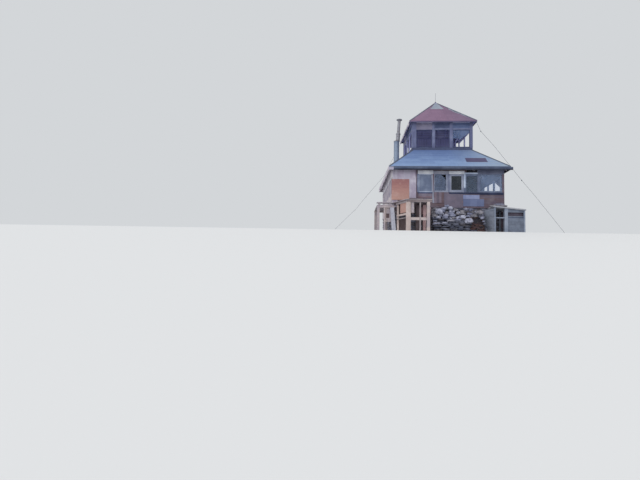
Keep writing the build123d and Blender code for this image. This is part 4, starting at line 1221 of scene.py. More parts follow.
@dataclass
class NailedFront:
    """Boards, panels and sheets nailed over the cabin's front and the stone beside the landing."""

    walls: CabinWalls
    skin: float = 0.018
    door_boards: tuple[Pair, ...] = ((-3.32, -2.935), (-2.933, -2.47), (-2.468, -2.105))
    door_foot: float = 2.38
    door_head: float = 4.3
    side_boards: tuple[Pair, ...] = ((-3.52, -3.427), (-3.423, -3.33))
    side_foot: float = 3.67
    ply: Opening = (-3.74, -2.56, 2.24, 3.66)
    low_ply: Pair = (1.25, 0.63)
    skirt: tuple[float, float, float, float] = (-3.62, -1.11, 1.25, 1.75)
    dark_to: float = -1.95
    stone: float = -3.62
    thick: float = 0.025
    sheet_split: float = 2.34

    def build(self) -> None:
        """Builds the trim, the doorway's panel, the plywood, the boards and the sheets."""
        self.trim()
        self.doorway()
        self.low_boards()
        self.sheets()

    def trim(self) -> None:
        """Boards over and between the windows, and dark strips of painted shadow under the sills."""
        trim = Carcass(51)
        at, head, sill = self.walls.posts(), self.walls.head, self.walls.sill
        near, face = -self.walls.half - self.skin, -self.walls.half
        for index, high in enumerate((0.24, 0.21, 0.21, 0.1)):
            x1 = at[index + 1] - (self.walls.post if index == 3 else 0.01)
            trim.board((at[index], near, head), (x1, face, head + high), "x", paint=(0, 3, 0, 4)[index])
        for x0, x1 in self.side_boards:
            trim.board((x0, near, self.side_foot), (x1, face, self.door_head), "z", paint=5)
        for index, below in enumerate((0.0, 0.735, 0.0, -0.3, 0.04)):
            left, right = at[index] - 0.053, at[index] + 0.053
            paint = (1, 3, 1, 4, 2)[index]
            lean = 0.09 if index == 1 else 0.0
            low, high = sill - below, head - 0.01
            outline = [(left, near, low), (right, near, low), (right - lean, near, high), (left - lean, near, high)]
            trim.prism(outline, (0, self.skin, 0), (0, 0, 1), paint=paint)
        trim.board((at[3] - 0.053, face - 0.008, sill), (at[3] + 0.053, face, sill + 0.3), "z", paint=2)
        finishes = [PALE_TRIM, POST_TRIM, DARK_SASH, HEAD_TRIM, POST_PALE, PALE_PANEL]
        trim.piece("front_trim", finishes, ["window_trim"], 0.003)
        # Dark strips under the sills: painted shadow where each sill shades the wall below
        ledges = Carcass(52)
        ledges.board((at[0] + 0.02, face - 0.024, sill - 0.1), (at[1] - 0.06, face, sill - 0.005), "x", paint=1)
        rows = ((at[2], at[3] + 0.05, 0.11), (at[3] + 0.06, at[4] + 0.05, 0.11), (at[4] + 0.055, 3.6, 0.15))
        for x0, x1, deep in rows:
            ledges.board((x0, face - 0.024, sill - deep), (x1, face, sill - 0.005), "x")
        ledges.piece("sill_shadow_strips", [SILL_SHADOW, SILL_PAINT_AND_SHADOW], (), 0.003)

    def doorway(self) -> None:
        """The panel over the doorway, of three wide boards, and the plywood."""
        panel = Carcass(53)
        near, face = -self.walls.half - self.skin, -self.walls.half
        for x0, x1 in self.door_boards:
            panel.board((x0, near, self.door_foot), (x1, face, self.door_head), "z")
        panel.piece("doorway_boards", [PALE_PANEL], ["doorway_panel"], 0.002)
        ply = Carcass(55)
        x0, x1, low, high = self.ply
        ply.board((x0, near - self.skin, low), (x1, near, high), "z")
        slant = math.atan2(0.69, 1.49)
        way = Vector((-math.sin(slant), math.cos(slant), 0.0))
        start = Vector((-2.818, -5.0004, 0.0))
        a, b = start + way * 0.121, start + way * 0.924
        out = Vector((way.y, -way.x, 0.0)) * 0.009
        low, high = self.low_ply
        outline = [(p.x, p.y, low) for p in (a - out, b - out, b + out, a + out)]
        ply.prism(outline, (0, 0, high), (0, 0, 1))
        ply.piece("plywood_panels", [DOOR_PLY], ["plywood_sheets"])

    def low_boards(self) -> None:
        """Boards under the first two windows and the skirt over the stone."""
        low = Carcass(57)
        at, sill = self.walls.posts(), self.walls.sill
        near, face = -self.walls.half - self.skin, -self.walls.half
        x0, x1 = self.walls.front_openings()[0][:2]
        for i in range(3):
            z0 = sill - 0.39 + i * 0.127
            low.board((x0, near, z0), (x1 - 0.01, face, z0 + 0.124), "x")
        red0, red1 = at[1] + 0.055, at[1] + 0.7
        for i in range(4):
            a = red0 + (red1 - red0) * i / 4
            low.board((a, near, sill - 0.73), (a + (red1 - red0) / 4 - 0.004, face, sill), "z", paint=i % 2)
        x, end, base, top = self.skirt
        outer = self.stone - self.thick
        while x < end - 0.05:
            wide = min(low.rng.uniform(0.14, 0.24), end - x)
            foot = base + low.rng.choice((0.0, 0.02, 0.05))
            paint = 2 if x + wide / 2 < self.dark_to else 4
            low.board((x, outer, foot), (x + wide - 0.006, self.stone, top), "z", paint=paint)
            x += wide
        # A pale soffit board on the skirt: painted light on a board in the deck's shade
        low.board((-2.43, outer - self.thick, 1.36), (-2.2, outer, 1.87), "z", paint=3)
        low.board((-3.3, outer - self.thick, 0.02), (-2.72, outer, 0.93), "z", paint=2)
        finishes = [BROWN_BOARDS, RED_SIDING, DARK_SKIRT, SOFFIT_GREY, RED_SKIRT]
        low.piece("low_boards", finishes, ["sill_boards"], 0.003)

    def sheets(self) -> None:
        """Three metal sheets with turned edges, nailed under the windows."""
        sheets = Carcass(59)
        at, sill = self.walls.posts(), self.walls.sill
        face = -self.walls.half
        split = self.sheet_split
        purple = (at[1] + 0.71, at[3] - 0.11, 1.74, sill - 0.085)
        upper = (at[3] - 0.1, at[4] + 0.045, split + 0.01, sill - 0.17)
        lower = (at[3] - 0.095, at[4] + 0.335, 1.855, split)
        for paint, (x0, x1, low, high) in ((0, purple), (1, upper), (2, lower)):
            count = 6
            for i in range(count):
                a, b = x0 + (x1 - x0) * i / count, x0 + (x1 - x0) * (i + 1) / count
                lift = 0.002 + 0.006 * abs(math.sin(i * 1.9 + x0))
                corners = [(a, face - lift, low), (b, face - lift - 0.003, low), (b, face, low), (a, face, low)]
                sheets.prism(corners, (0, 0, high - low), (0, 0, 1), paint=paint)
        sheets.piece("nailed_sheets", [PURPLE_SHEET, BLUE_SHEET, DEEP_SHEET], ["metal_sheets"])


@dataclass
class HippedRoof:
    """A hipped roof's shape, and the lapped steel sheets laid on its four faces."""

    eave: float
    inner: float
    level: float
    rise: float
    courses: int
    sheet: float
    step: float

    def on_face(self, x: float, out: float, lift: float = 0.0) -> Vector:
        """A point on the front face, lifted square to it."""
        return Vector((x, -out, self.level + (self.eave - out) * self.rise)) + self.normal() * lift

    def normal(self) -> Vector:
        """The front face's outward direction."""
        return Vector((0.0, -self.rise, 1.0)).normalized()

    def plate(
        self, mesh: Carcass, flat: Sequence[Point], lifts: Sequence[float], side: Side = Side.FRONT, paint: int = 0
    ) -> None:
        """Adds a thin sheet from an outline of x and out, with a lift at each corner."""
        corners = [tuple(self.on_face(p[0], p[1], lift)) for p, lift in zip(flat, lifts)]
        mesh.prism(corners, tuple(self.normal() * 0.0025), (1, 0, 0), side, paint)

    def lay(self, mesh: Carcass, seam: int | None = None) -> None:
        """Lays the sheets in courses from the eave up.

        Args:
            mesh: The mesh that they go in.
            seam: The paint of a rolled seam along each course, paler than the sheet as a painted highlight, or None.
        """
        run = (self.eave - self.inner) / self.courses
        for side in Side:
            for course in range(self.courses):
                low, high = self.eave - run * course, self.eave - run * (course + 1)
                lap = min(0.04, high - self.inner)
                x = -low - mesh.rng.uniform(0.0, self.sheet)
                while x < low:
                    end = x + self.sheet
                    flat: list[Point] = [(x, low), (end - 0.004, low), (end - 0.004, high - lap), (x, high - lap)]
                    flat = clipped(clipped(flat, (0, 0), (-1, 1)) or [(0, 0)], (0, 0), (1, 1))
                    if len(flat) > 2:
                        lift = mesh.rng.uniform(0.0, 0.0015)
                        lifts = [self.step + lift if p[1] > low - 0.001 else lift for p in flat]
                        self.plate(mesh, flat, lifts, side)
                    x = end
                # A strip along each course's lower edge in paler paint: a painted highlight of the lit lap
                if seam is not None and course:
                    end, foot, head = low - 0.02, low + 0.012, low - 0.016
                    strip = [(-end, foot), (end, foot), (end, head), (-end, head)]
                    self.plate(mesh, strip, [self.step + 0.0025] * 4, side, seam)

    def cap(self, mesh: Carcass, wide: float, lift: float) -> None:
        """Adds a folded cap with a rolled bead along each hip.

        Args:
            mesh: The mesh that it goes in.
            wide: The cap's width, measured across both wings.
            lift: How far it lies over the boards.
        """
        top = max(self.inner, wide * 0.7)
        for side in Side:
            for way in (-1, 1):
                strip = [(way * self.eave, self.eave), (way * top, top), (way * (top - wide * 0.7), top)]
                strip.append((way * (self.eave - wide * 0.7), self.eave))
                self.plate(mesh, strip, [lift] * 4, side)
        for sx, sy in ((1, 1), (1, -1), (-1, 1), (-1, -1)):
            low, high = self.on_face(self.eave, self.eave, lift), self.on_face(self.inner, self.inner, lift)
            ends = [(sx * p.x, sy * p.y, p.z) for p in (low, high)]
            mesh.tube(ends[0], ends[1], (0.014, 0.014), 8)


LOWER = HippedRoof(3.964, 2.12, 4.486, 0.8975, 7, 1.83, 0.005)
UPPER = HippedRoof(2.368, 0.12, 8.215, 0.995, 3, 0.92, 0.002)


@dataclass
class RoofCovers:
    """What both roofs carry: sheets, hip caps, patches, edge boards and the bare left eave."""

    board: float = 0.025
    drip: float = 0.004
    past_corner: float = 0.15
    corner: float = 3.64
    patch: tuple[Pair, ...] = ((1.27, 3.52), (2.66, 3.52), (2.66, 3.08), (1.28, 3.08))
    worn: tuple[tuple[float, float, float], ...] = (
        (1.0, 0.4, 0.2),
        (1.22, 0.4, 0.23),
        (1.34, 0.52, 0.27),
        (1.7, 0.4, 0.17),
    )

    def build(self, frame: dict[str, Any]) -> None:
        """Builds the covers and dresses the timber under them.
        """
        sheets = Carcass(61)
        LOWER.lay(sheets, 1)
        sheets.piece("lower_sheets", [ZINC_SHEET, SEAM_HIGHLIGHT])
        sheets = Carcass(81)
        UPPER.lay(sheets)
        sheets.piece("upper_sheets", [RED_SHEET])
        caps = Carcass(67)
        LOWER.cap(caps, 0.16, 0.011)
        UPPER.cap(caps, 0.13, 0.008)
        caps.piece("hip_covers", [HIP_METAL], ["hip_caps"])
        self.patches()
        self.edges()
        self.bare_eave()
        for name, along_x, along_y in (("lower_roof", SHEATHING_X, SHEATHING_Y), ("upper_roof", ATTIC_X, ATTIC_Y)):
            dress(frame, along_x, f"{name}_front", f"{name}_back")
            dress(frame, along_y, f"{name}_right")
            # The left eaves take the near-white sheathing: painted light on their shaded undersides
            dress(frame, SOFFIT_Y, f"{name}_left")
        dress(frame, EAVE_FRAME, "lower_rafters")
        dress(frame, ROUGH_FRAME, "ceiling_joists")
        dress(frame, ATTIC_FRAME, "upper_rafters")
        dress(frame, FOOT_SHEET, "cupola_flashing")
        dress(frame, STEEL_WIRE, "lightning_rod")

    def patches(self) -> None:
        """The maroon sheet on the lower roof, the bare top of the upper one and its worn places."""
        patch = Carcass(69)
        LOWER.plate(patch, self.patch, [0.010] * 4)
        patch.piece("maroon_patch", [MAROON_SHEET], ["roof_patch"])
        bare = Carcass(83)
        UPPER.plate(bare, [(-0.6, 0.92), (0.42, 0.92), (0.1, 0.16), (-0.1, 0.16)], [0.007] * 4)
        UPPER.plate(bare, [(-0.6, 0.92), (0.42, 0.92), (0.39, 0.86), (-0.56, 0.86)], [0.010] * 4, paint=2)
        for out, length, wide in self.worn:
            ring: list[Point] = []
            for i in range(12):
                t = i / 6 if i < 6 else (11 - i) / 6
                along = out + length * (t - 0.4)
                inset = 0.06 if i < 6 else 0.06 + wide * (1 - abs(2 * t - 0.9)) + bare.chance(0.05)
                ring.append((along - max(0.05, inset), along + 0.01))
            UPPER.plate(bare, ring, [0.006] * len(ring), paint=2)
        bare.piece("bare_patches", [BARE_SHEET, SEAM_HIGHLIGHT, WORN_SHEET], ["apex_patch"])

    def edges(self) -> None:
        """Boards and a metal drip along the front, right and back eaves of both roofs, with a foot board of painted
        shadow under each edge board.
        """
        boards = Carcass(63)
        # The second row of each roof is its foot board: painted shadow under the eave
        rows = (
            (LOWER, 0.035, 0.12, 0),
            (LOWER, 0.155, 0.085, 1),
            (UPPER, 0.03, 0.045, 2),
            (UPPER, 0.075, 0.04, 5),
        )
        for roof, drop, deep, paint in rows:
            top = roof.level - drop
            for side in (Side.FRONT, Side.RIGHT, Side.BACK):
                front, rear = (roof is LOWER and side is way for way in (Side.FRONT, Side.BACK))
                reach = roof.eave if side is not Side.RIGHT else roof.eave - self.board
                past = reach + self.past_corner if front else reach
                x = -reach
                while x < past:
                    end = min(past, x + boards.rng.uniform(2.2, 3.6))
                    if past - end < 0.6:
                        end = past
                    if front and x < -self.corner - 0.01:
                        end = -self.corner
                    if rear and x < self.corner - 0.04 < end:
                        end = self.corner
                    lo, hi = (x, -roof.eave, top - deep + 0.002), (end - 0.003, -roof.eave + self.board, top)
                    if front and end < -self.corner + 0.04:
                        boards.board(lo, hi, "x", side, 4)
                    else:
                        boards.board(lo, hi, "x", side, 3 if rear and x > self.corner - 0.04 else paint)
                    x = end
        finishes = [EAVE_BOARDS, EAVE_SHADOW_BOARDS, UPPER_EAVE, RIBBED_GREY, EAVE_END, UPPER_SHADOW_BOARDS]
        boards.piece("edge_boards", finishes, ["fascia_boards"], 0.003)
        drips = Carcass(64)
        for roof, thick, paint in ((LOWER, 0.035, 0), (UPPER, 0.03, 1)):
            for side in Side:
                lo = (-roof.eave, -roof.eave - self.drip, roof.level - thick * (1.0 if side is not Side.LEFT else 0.3))
                drips.board(lo, (roof.eave, -roof.eave, roof.level + 0.006), "x", side, paint)
        drips.piece("drip_edges", [DRIP_METAL, RED_SHEET])

    def bare_eave(self) -> None:
        """Ragged ends of boards and rafters on the left eaves, where the edge board is gone."""
        ends = Carcass(65)
        for roof, pitch, hang in ((LOWER, 0.45, 0.34), (UPPER, 0.5, 0.19)):
            y, z = -roof.eave + 0.03, roof.level - 0.036
            while y < roof.eave - 0.1:
                count = ends.rng.choice((2, 3, 3))
                deep = hang * ends.rng.uniform(0.7, 1.0)
                for _ in range(count):
                    wide = min(ends.rng.uniform(0.09, 0.15), roof.eave - 0.03 - y)
                    if wide > 0.03:
                        out = ends.rng.uniform(0.0, 0.05)
                        low = z - deep * ends.rng.uniform(0.7, 1.0)
                        lo, hi = (y, -roof.eave - out, low), (y + wide - 0.01, -roof.eave + 0.03, z)
                        ends.board(lo, hi, "z", Side.LEFT)
                    y += wide
                y += pitch - count * 0.12 - ends.rng.uniform(0.0, 0.08)
        ends.piece("ragged_eave_ends", [RIBBED_GREY])


@dataclass
class Cupola:
    """The watch room: casing boards, header panels and front sashes on its CAD walls."""

    half: float = 2.12
    foot: float = 6.315
    sill: float = 6.35
    head: float = 7.64
    header: Pair = (7.73, 8.13)
    top: float = 8.36
    bays: tuple[Pair, ...] = ((-1.835, -0.785), (-0.45, 0.45), (0.785, 1.835))
    front_bays: tuple[Pair, ...] = ((-1.835, -0.7), (-0.525, 0.525), (0.729, 1.935))
    right_bays: tuple[Pair, ...] = ((-1.7, -0.401), (-0.32, 0.971), (1.06, 1.95))
    proud: float = 0.014
    stile: float = 0.04
    broken_pane: tuple[Pair, ...] = (
        (0.769, 7.0),
        (1.186, 7.0),
        (1.221, 6.89),
        (1.865, 7.414),
        (1.895, 7.414),
        (1.895, 7.6),
        (0.769, 7.6),
    )

    def build(self, frame: dict[str, Any]) -> None:
        """Builds casings and sashes and dresses the walls and the floor.
        """
        casing = Carcass(71)
        for side in Side:
            self.casings(casing, side, {Side.FRONT: self.front_bays, Side.RIGHT: self.right_bays}.get(side, self.bays))
            dress(frame, LINING, f"cupola_{side.name.lower()}_wall")
        finishes = [CUPOLA_PAINT, HEADER_BROWN, HEADER_BLUE, HEADER_TEAL, SILL_PAINT_AND_SHADOW, RAIL_PAINT, TOP_PALE, TOP_MID]
        casing.piece("cupola_casings", finishes, (), 0.003)
        sashes = Carcass(73)
        front, rear = -self.half + 0.01, -self.half + 0.06
        for x0, x1 in self.front_bays:
            sashes.sash((x0, x1, self.sill, self.head), (self.stile,) * 4, (front, rear))
        sashes.piece("cupola_sashes", [SILL_PAINT_AND_SHADOW], ["cupola_window_frames"], 0.003)
        pane = Carcass(75)
        pane.prism([(x, front + 0.023, z) for x, z in self.broken_pane], (0, 0.004, 0), (0, 0, 1))
        pane.piece("broken_cupola_pane", [CUPOLA_GLASS])
        dress(frame, FLOOR_BOARDS, "cupola_floor")

    def casings(self, casing: Carcass, side: Side, bays: Sequence[Pair]) -> None:
        """Adds one side's posts, rails and header panels.

        Args:
            casing: The mesh that they go in.
            side: The side of the watch room.
            bays: The left and right ends of its openings.
        """
        near, face = -self.half - self.proud, -self.half
        reach = self.half + (self.proud if side in (Side.FRONT, Side.BACK) else 0.0)
        edges = [-reach, *(x for bay in bays for x in bay), reach]
        for x0, x1 in zip(edges[::2], edges[1::2]):
            middle = (x0 + x1) / 2
            casing.board((x0, near, self.foot), (middle - 0.002, face, self.top), "z", side)
            casing.board((middle + 0.002, near, self.foot), (x1, face, self.top), "z", side)
        for index, (x0, x1) in enumerate(bays):
            lo, hi = (x0 + 0.002, near + 0.002, self.foot), (x1 - 0.002, face, self.sill)
            casing.board(lo, hi, "x", side, 4)
            lo, hi = (x0 + 0.002, near + 0.002, self.header[1]), (x1 - 0.002, face, self.top)
            casing.board(lo, hi, "x", side, (6, 5, 7)[index])
            if side is Side.RIGHT and index == 2:
                continue
            lo, hi = (x0 + 0.002, near + 0.002, self.head), (x1 - 0.002, face, self.header[0])
            casing.board(lo, hi, "x", side, 5 if index else 1)
            for i in range(3):
                low = self.header[0] + (self.header[1] - self.header[0]) * i / 3
                high = low + (self.header[1] - self.header[0]) / 3 - 0.003
                casing.board((x0 + 0.002, face + 0.008, low), (x1 - 0.002, face + 0.022, high), "x", side, index + 1)


@dataclass
class Chimney:
    """The stove pipe: a wide lower pipe, a narrow upper one and its cap."""

    x: float = -3.05
    y: float = -0.61
    low: float = 4.901
    joint: float = 7.241
    wide: float = 0.196
    lean: float = 3.6
    shift: float = 0.092
    proud: float = 0.006
    thick: float = 0.008
    lower_bands: tuple[float, ...] = (5.75, 6.5, 7.19)
    upper_bands: tuple[Pair, ...] = (
        (0.03, 0.147),
        (0.3, 0.147),
        (0.585, 0.147),
        (1.08, 0.111),
        (1.5, 0.111),
    )

    def along(self, far: float) -> Vector:
        """A point on the leaning pipe's line.

        Args:
            far: How far up the pipe it is.

        Returns:
            The point, from the cabin's middle.
        """
        lean = math.radians(self.lean)
        start = Vector((self.x + self.shift, self.y, self.joint + 0.06))
        return start + Vector((math.sin(lean), 0.0, math.cos(lean))) * far

    def build(self, frame: dict[str, Any]) -> None:
        """Dresses the pipes and their cap, and adds a seam strip and bands.
        """
        dress(frame, PIPE_METAL, "chimney_lower_pipe")
        dress(frame, OLD_PIPE, "chimney_upper_pipe", "chimney_cap")
        bands = Carcass(91)
        for z in self.lower_bands:
            ends = (self.x, self.y, z), (self.x, self.y, z + 0.03)
            bands.tube(*ends, (self.wide + self.proud,) * 2, bore=self.thick)
        bands.board((self.x + 0.19, self.y - 0.012, 5.5), (self.x + 0.203, self.y + 0.012, 7.24), "z")
        for far, radius in self.upper_bands:
            ends = self.along(far), self.along(far + 0.025)
            bands.tube(*ends, (radius + self.proud,) * 2, bore=self.thick, paint=1)
        bands.piece("pipe_bands", [PIPE_METAL, OLD_PIPE])


@dataclass
class Landing:
    """The landing before the doorway: planks with a slanted edge on a frame of old posts."""

    left: float = -2.95
    right: float = -1.35
    front: float = -5.15
    back: float = -3.66
    slant: float = 0.69
    top: float = 2.07
    board: float = 0.05
    beam: float = 0.14
    post: float = 0.22
    side_post: float = 0.19
    rail: Pair = (0.72, 0.9)
    hung: tuple[float, float, float] = (-2.65, -2.46, 1.2)

    def build(self) -> None:
        """Builds the planks and the frame."""
        planks = Carcass(101)
        inward = (self.back - self.front, self.slant)
        x = self.left - self.slant
        while x < self.right - 0.01:
            end = min(x + planks.rng.uniform(0.13, 0.19), self.right)
            tip = self.front + planks.rng.uniform(0.0, 0.02)
            flat = [(x, tip), (end - 0.008, tip), (end - 0.008, self.back), (x, self.back)]
            flat = clipped(flat, (self.left, self.front), inward)
            if len(flat) > 2:
                sag = planks.rng.uniform(0.0, 0.006)
                outline = [(p[0], p[1], self.top - self.board) for p in flat]
                planks.prism(outline, (0, 0, self.board - sag), (0, 1, 0))
            x = end
        planks.piece("landing_planks", [SILVER_DECK], ["landing_boards"], 0.004)
        self.frame()

    def frame(self) -> None:
        """Posts, beams and rails."""
        frame = Carcass(103)
        beam_top = self.top - self.board
        beam_low = beam_top - self.beam
        line = self.front + self.post * 0.68
        corner = self.left + self.post * 0.6
        rear = self.back - self.side_post / 2
        right = self.right - self.post
        wide = self.right - self.left
        angle = math.atan2(self.slant, self.back - self.front)
        slant_left = self.left - self.slant * (rear - self.front) / (self.back - self.front)
        front = self.front + 0.06
        frame.board((self.left + 0.06, front, beam_low), (self.right, front + 0.09, beam_top), "x", paint=5)
        frame.board((slant_left, self.back - 0.09, beam_low), (self.right, self.back, beam_top), "x", paint=3)
        frame.beam((corner, line, 0), (corner, line, beam_low), self.post, self.post, 6, math.degrees(angle))
        # The posts take lit and shaded paints: painted light and shade by where each stands under the deck
        posts = (
            (right, line, self.side_post, 0),
            (self.left + wide * 0.545, line, 0.09, 2),
            (self.left + wide * 0.574, rear, self.side_post, 3),
            (right, rear, self.side_post, 7),
            (slant_left + self.side_post * 1.5, rear, 0.13, 6),
        )
        for x, y, size, paint in posts:
            frame.beam((x, y, 0), (x, y, beam_low), size, size, paint)
        frame.board((self.hung[0], front + 0.09, self.hung[2]), (self.hung[1], front + 0.115, beam_top), "z")
        rail = line - 0.02
        frame.board((self.left + self.post, rail, self.rail[0]), (right, rail + 0.04, self.rail[1]), "x")
        way = Vector((-math.sin(angle), math.cos(angle), 0))
        start = Vector((corner, line, 0))
        side = ((1.371, 1.14, 0.12, 0.04, 6), (1.43, (beam_low + beam_top) / 2, self.beam, 0.09, 0))
        for far, high, deep, thick, paint in side:
            a, b = start + Vector((0, 0, high)), start + way * far + Vector((0, 0, high))
            frame.beam(tuple(a), tuple(b), thick, deep, paint)
        lift = Vector((0, 0, self.rail[1]))
        a, b = start + way * 0.05 + lift, start + way * 1.371 + lift
        frame.beam(tuple(a), tuple(b), 0.03, 0.06, 2)
        finishes = [DECK_POSTS, INNER_POSTS, HALF_POST, DARK_SKIRT, BROWN_BOARDS, BEAM_WOOD, CORNER_POST, RED_SKIRT]
        frame.piece("landing_timbers", finishes, ["landing_frame"], 0.008)


@dataclass
class Platform:
    """The platform beside the left wall, with a raised step at its front."""

    left: float = -4.72
    right: float = -3.66
    front: float = -3.8
    long: float = 2.5
    top: float = 1.87
    post: float = 0.17
    step: Pair = (2.025, 2.07)
    lean_foot: float = -3.56
    lean_front: float = -3.874
    lean_wide: float = 0.255
    lean: float = 0.15
    boards: tuple[float, float, float] = (-4.25, -3.69, 0.73)
    hole: Opening = (-4.077, -3.874, 1.0, 1.3)

    def build(self) -> None:
        """Builds the planks and the frame."""
        planks = Carcass(111)
        y = self.front
        while y < self.front + self.long - 0.01:
            end = min(y + planks.rng.uniform(0.14, 0.2), self.front + self.long)
            out = planks.rng.uniform(0.0, 0.03)
            planks.board((self.left + out, y, self.top - 0.06), (self.right, end - 0.008, self.top), "x")
            y = end
        for i in range(3):
            y0 = self.front + i * 0.14
            planks.board((self.left, y0, self.step[0]), (self.right, y0 + 0.134, self.step[1]), "x", paint=2)
        for x0 in (self.left + 0.12, self.right - 0.24):
            lo, hi = (x0, self.front + 0.06, self.top), (x0 + 0.12, self.front + 0.36, self.step[0])
            planks.board(lo, hi, "x", paint=1)
        planks.piece("platform_planks", [SILVER_DECK, DECK_POSTS, STEP_BOARDS], ["platform_boards"], 0.004)
        frame = Carcass(113)
        low, high = self.top - 0.18, self.top - 0.06
        back = self.front + self.long
        frame.board((self.left, self.front, low), (self.right + 0.135, self.front + 0.09, high), "x")
        frame.board((self.left, back - 0.09, low), (self.right, back, high), "x")
        left = self.left + 0.102
        for x, y in ((left, self.front + 0.045), (left, back - 0.045), (self.right - 0.17, back - 0.045)):
            frame.beam((x, y, 0), (x, y, low), self.post, self.post)
        half, y = self.lean_wide / 2, self.lean_front
        foot, head = self.lean_foot, self.lean_foot - self.lean
        outline = [(foot - half, y, 0), (foot + half, y, 0), (head + half, y, low), (head - half, y, low)]
        frame.prism(outline, (0, 0.204, 0), (0, 0, 1), paint=1)
        self.hatch(frame, self.front + 0.09)
        finishes = [DECK_POSTS, LEAN_POST, CORNER_POST, DARK_SKIRT]
        frame.piece("platform_timbers", finishes, ["platform_frame"], 0.006)

    def hatch(self, frame: Carcass, y: float) -> None:
        """Upright boards under the platform's front, round a square hole, their post, and a dark board of painted
        shade behind the hole.

        Args:
            frame: The mesh that they go in.
            y: How far forward their faces lie.
        """
        x0, x1, foot = self.boards
        hole0, hole1, low, high = self.hole
        frame.board((x0, self.front, 0.0), (x0 + 0.1, y, self.top - 0.18), "z")
        for a, b, paint in ((x0, hole0, 2), (hole1, x1, 0)):
            frame.board((a, y, foot), (b - 0.003, y + 0.025, self.top - 0.06), "z", paint=paint)
        middle = (hole0 + hole1) / 2
        for a, b in ((hole0, middle), (middle, hole1)):
            frame.board((a, y, foot), (b - 0.003, y + 0.025, low), "z")
            frame.board((a, y, high), (b - 0.003, y + 0.025, self.top - 0.06), "z")
        # A dark board behind the hole: painted shade, so that the hole reads dark
        frame.board((hole0 - 0.04, y + 0.03, low - 0.05), (hole1 + 0.06, y + 0.045, high + 0.05), "z", paint=3)


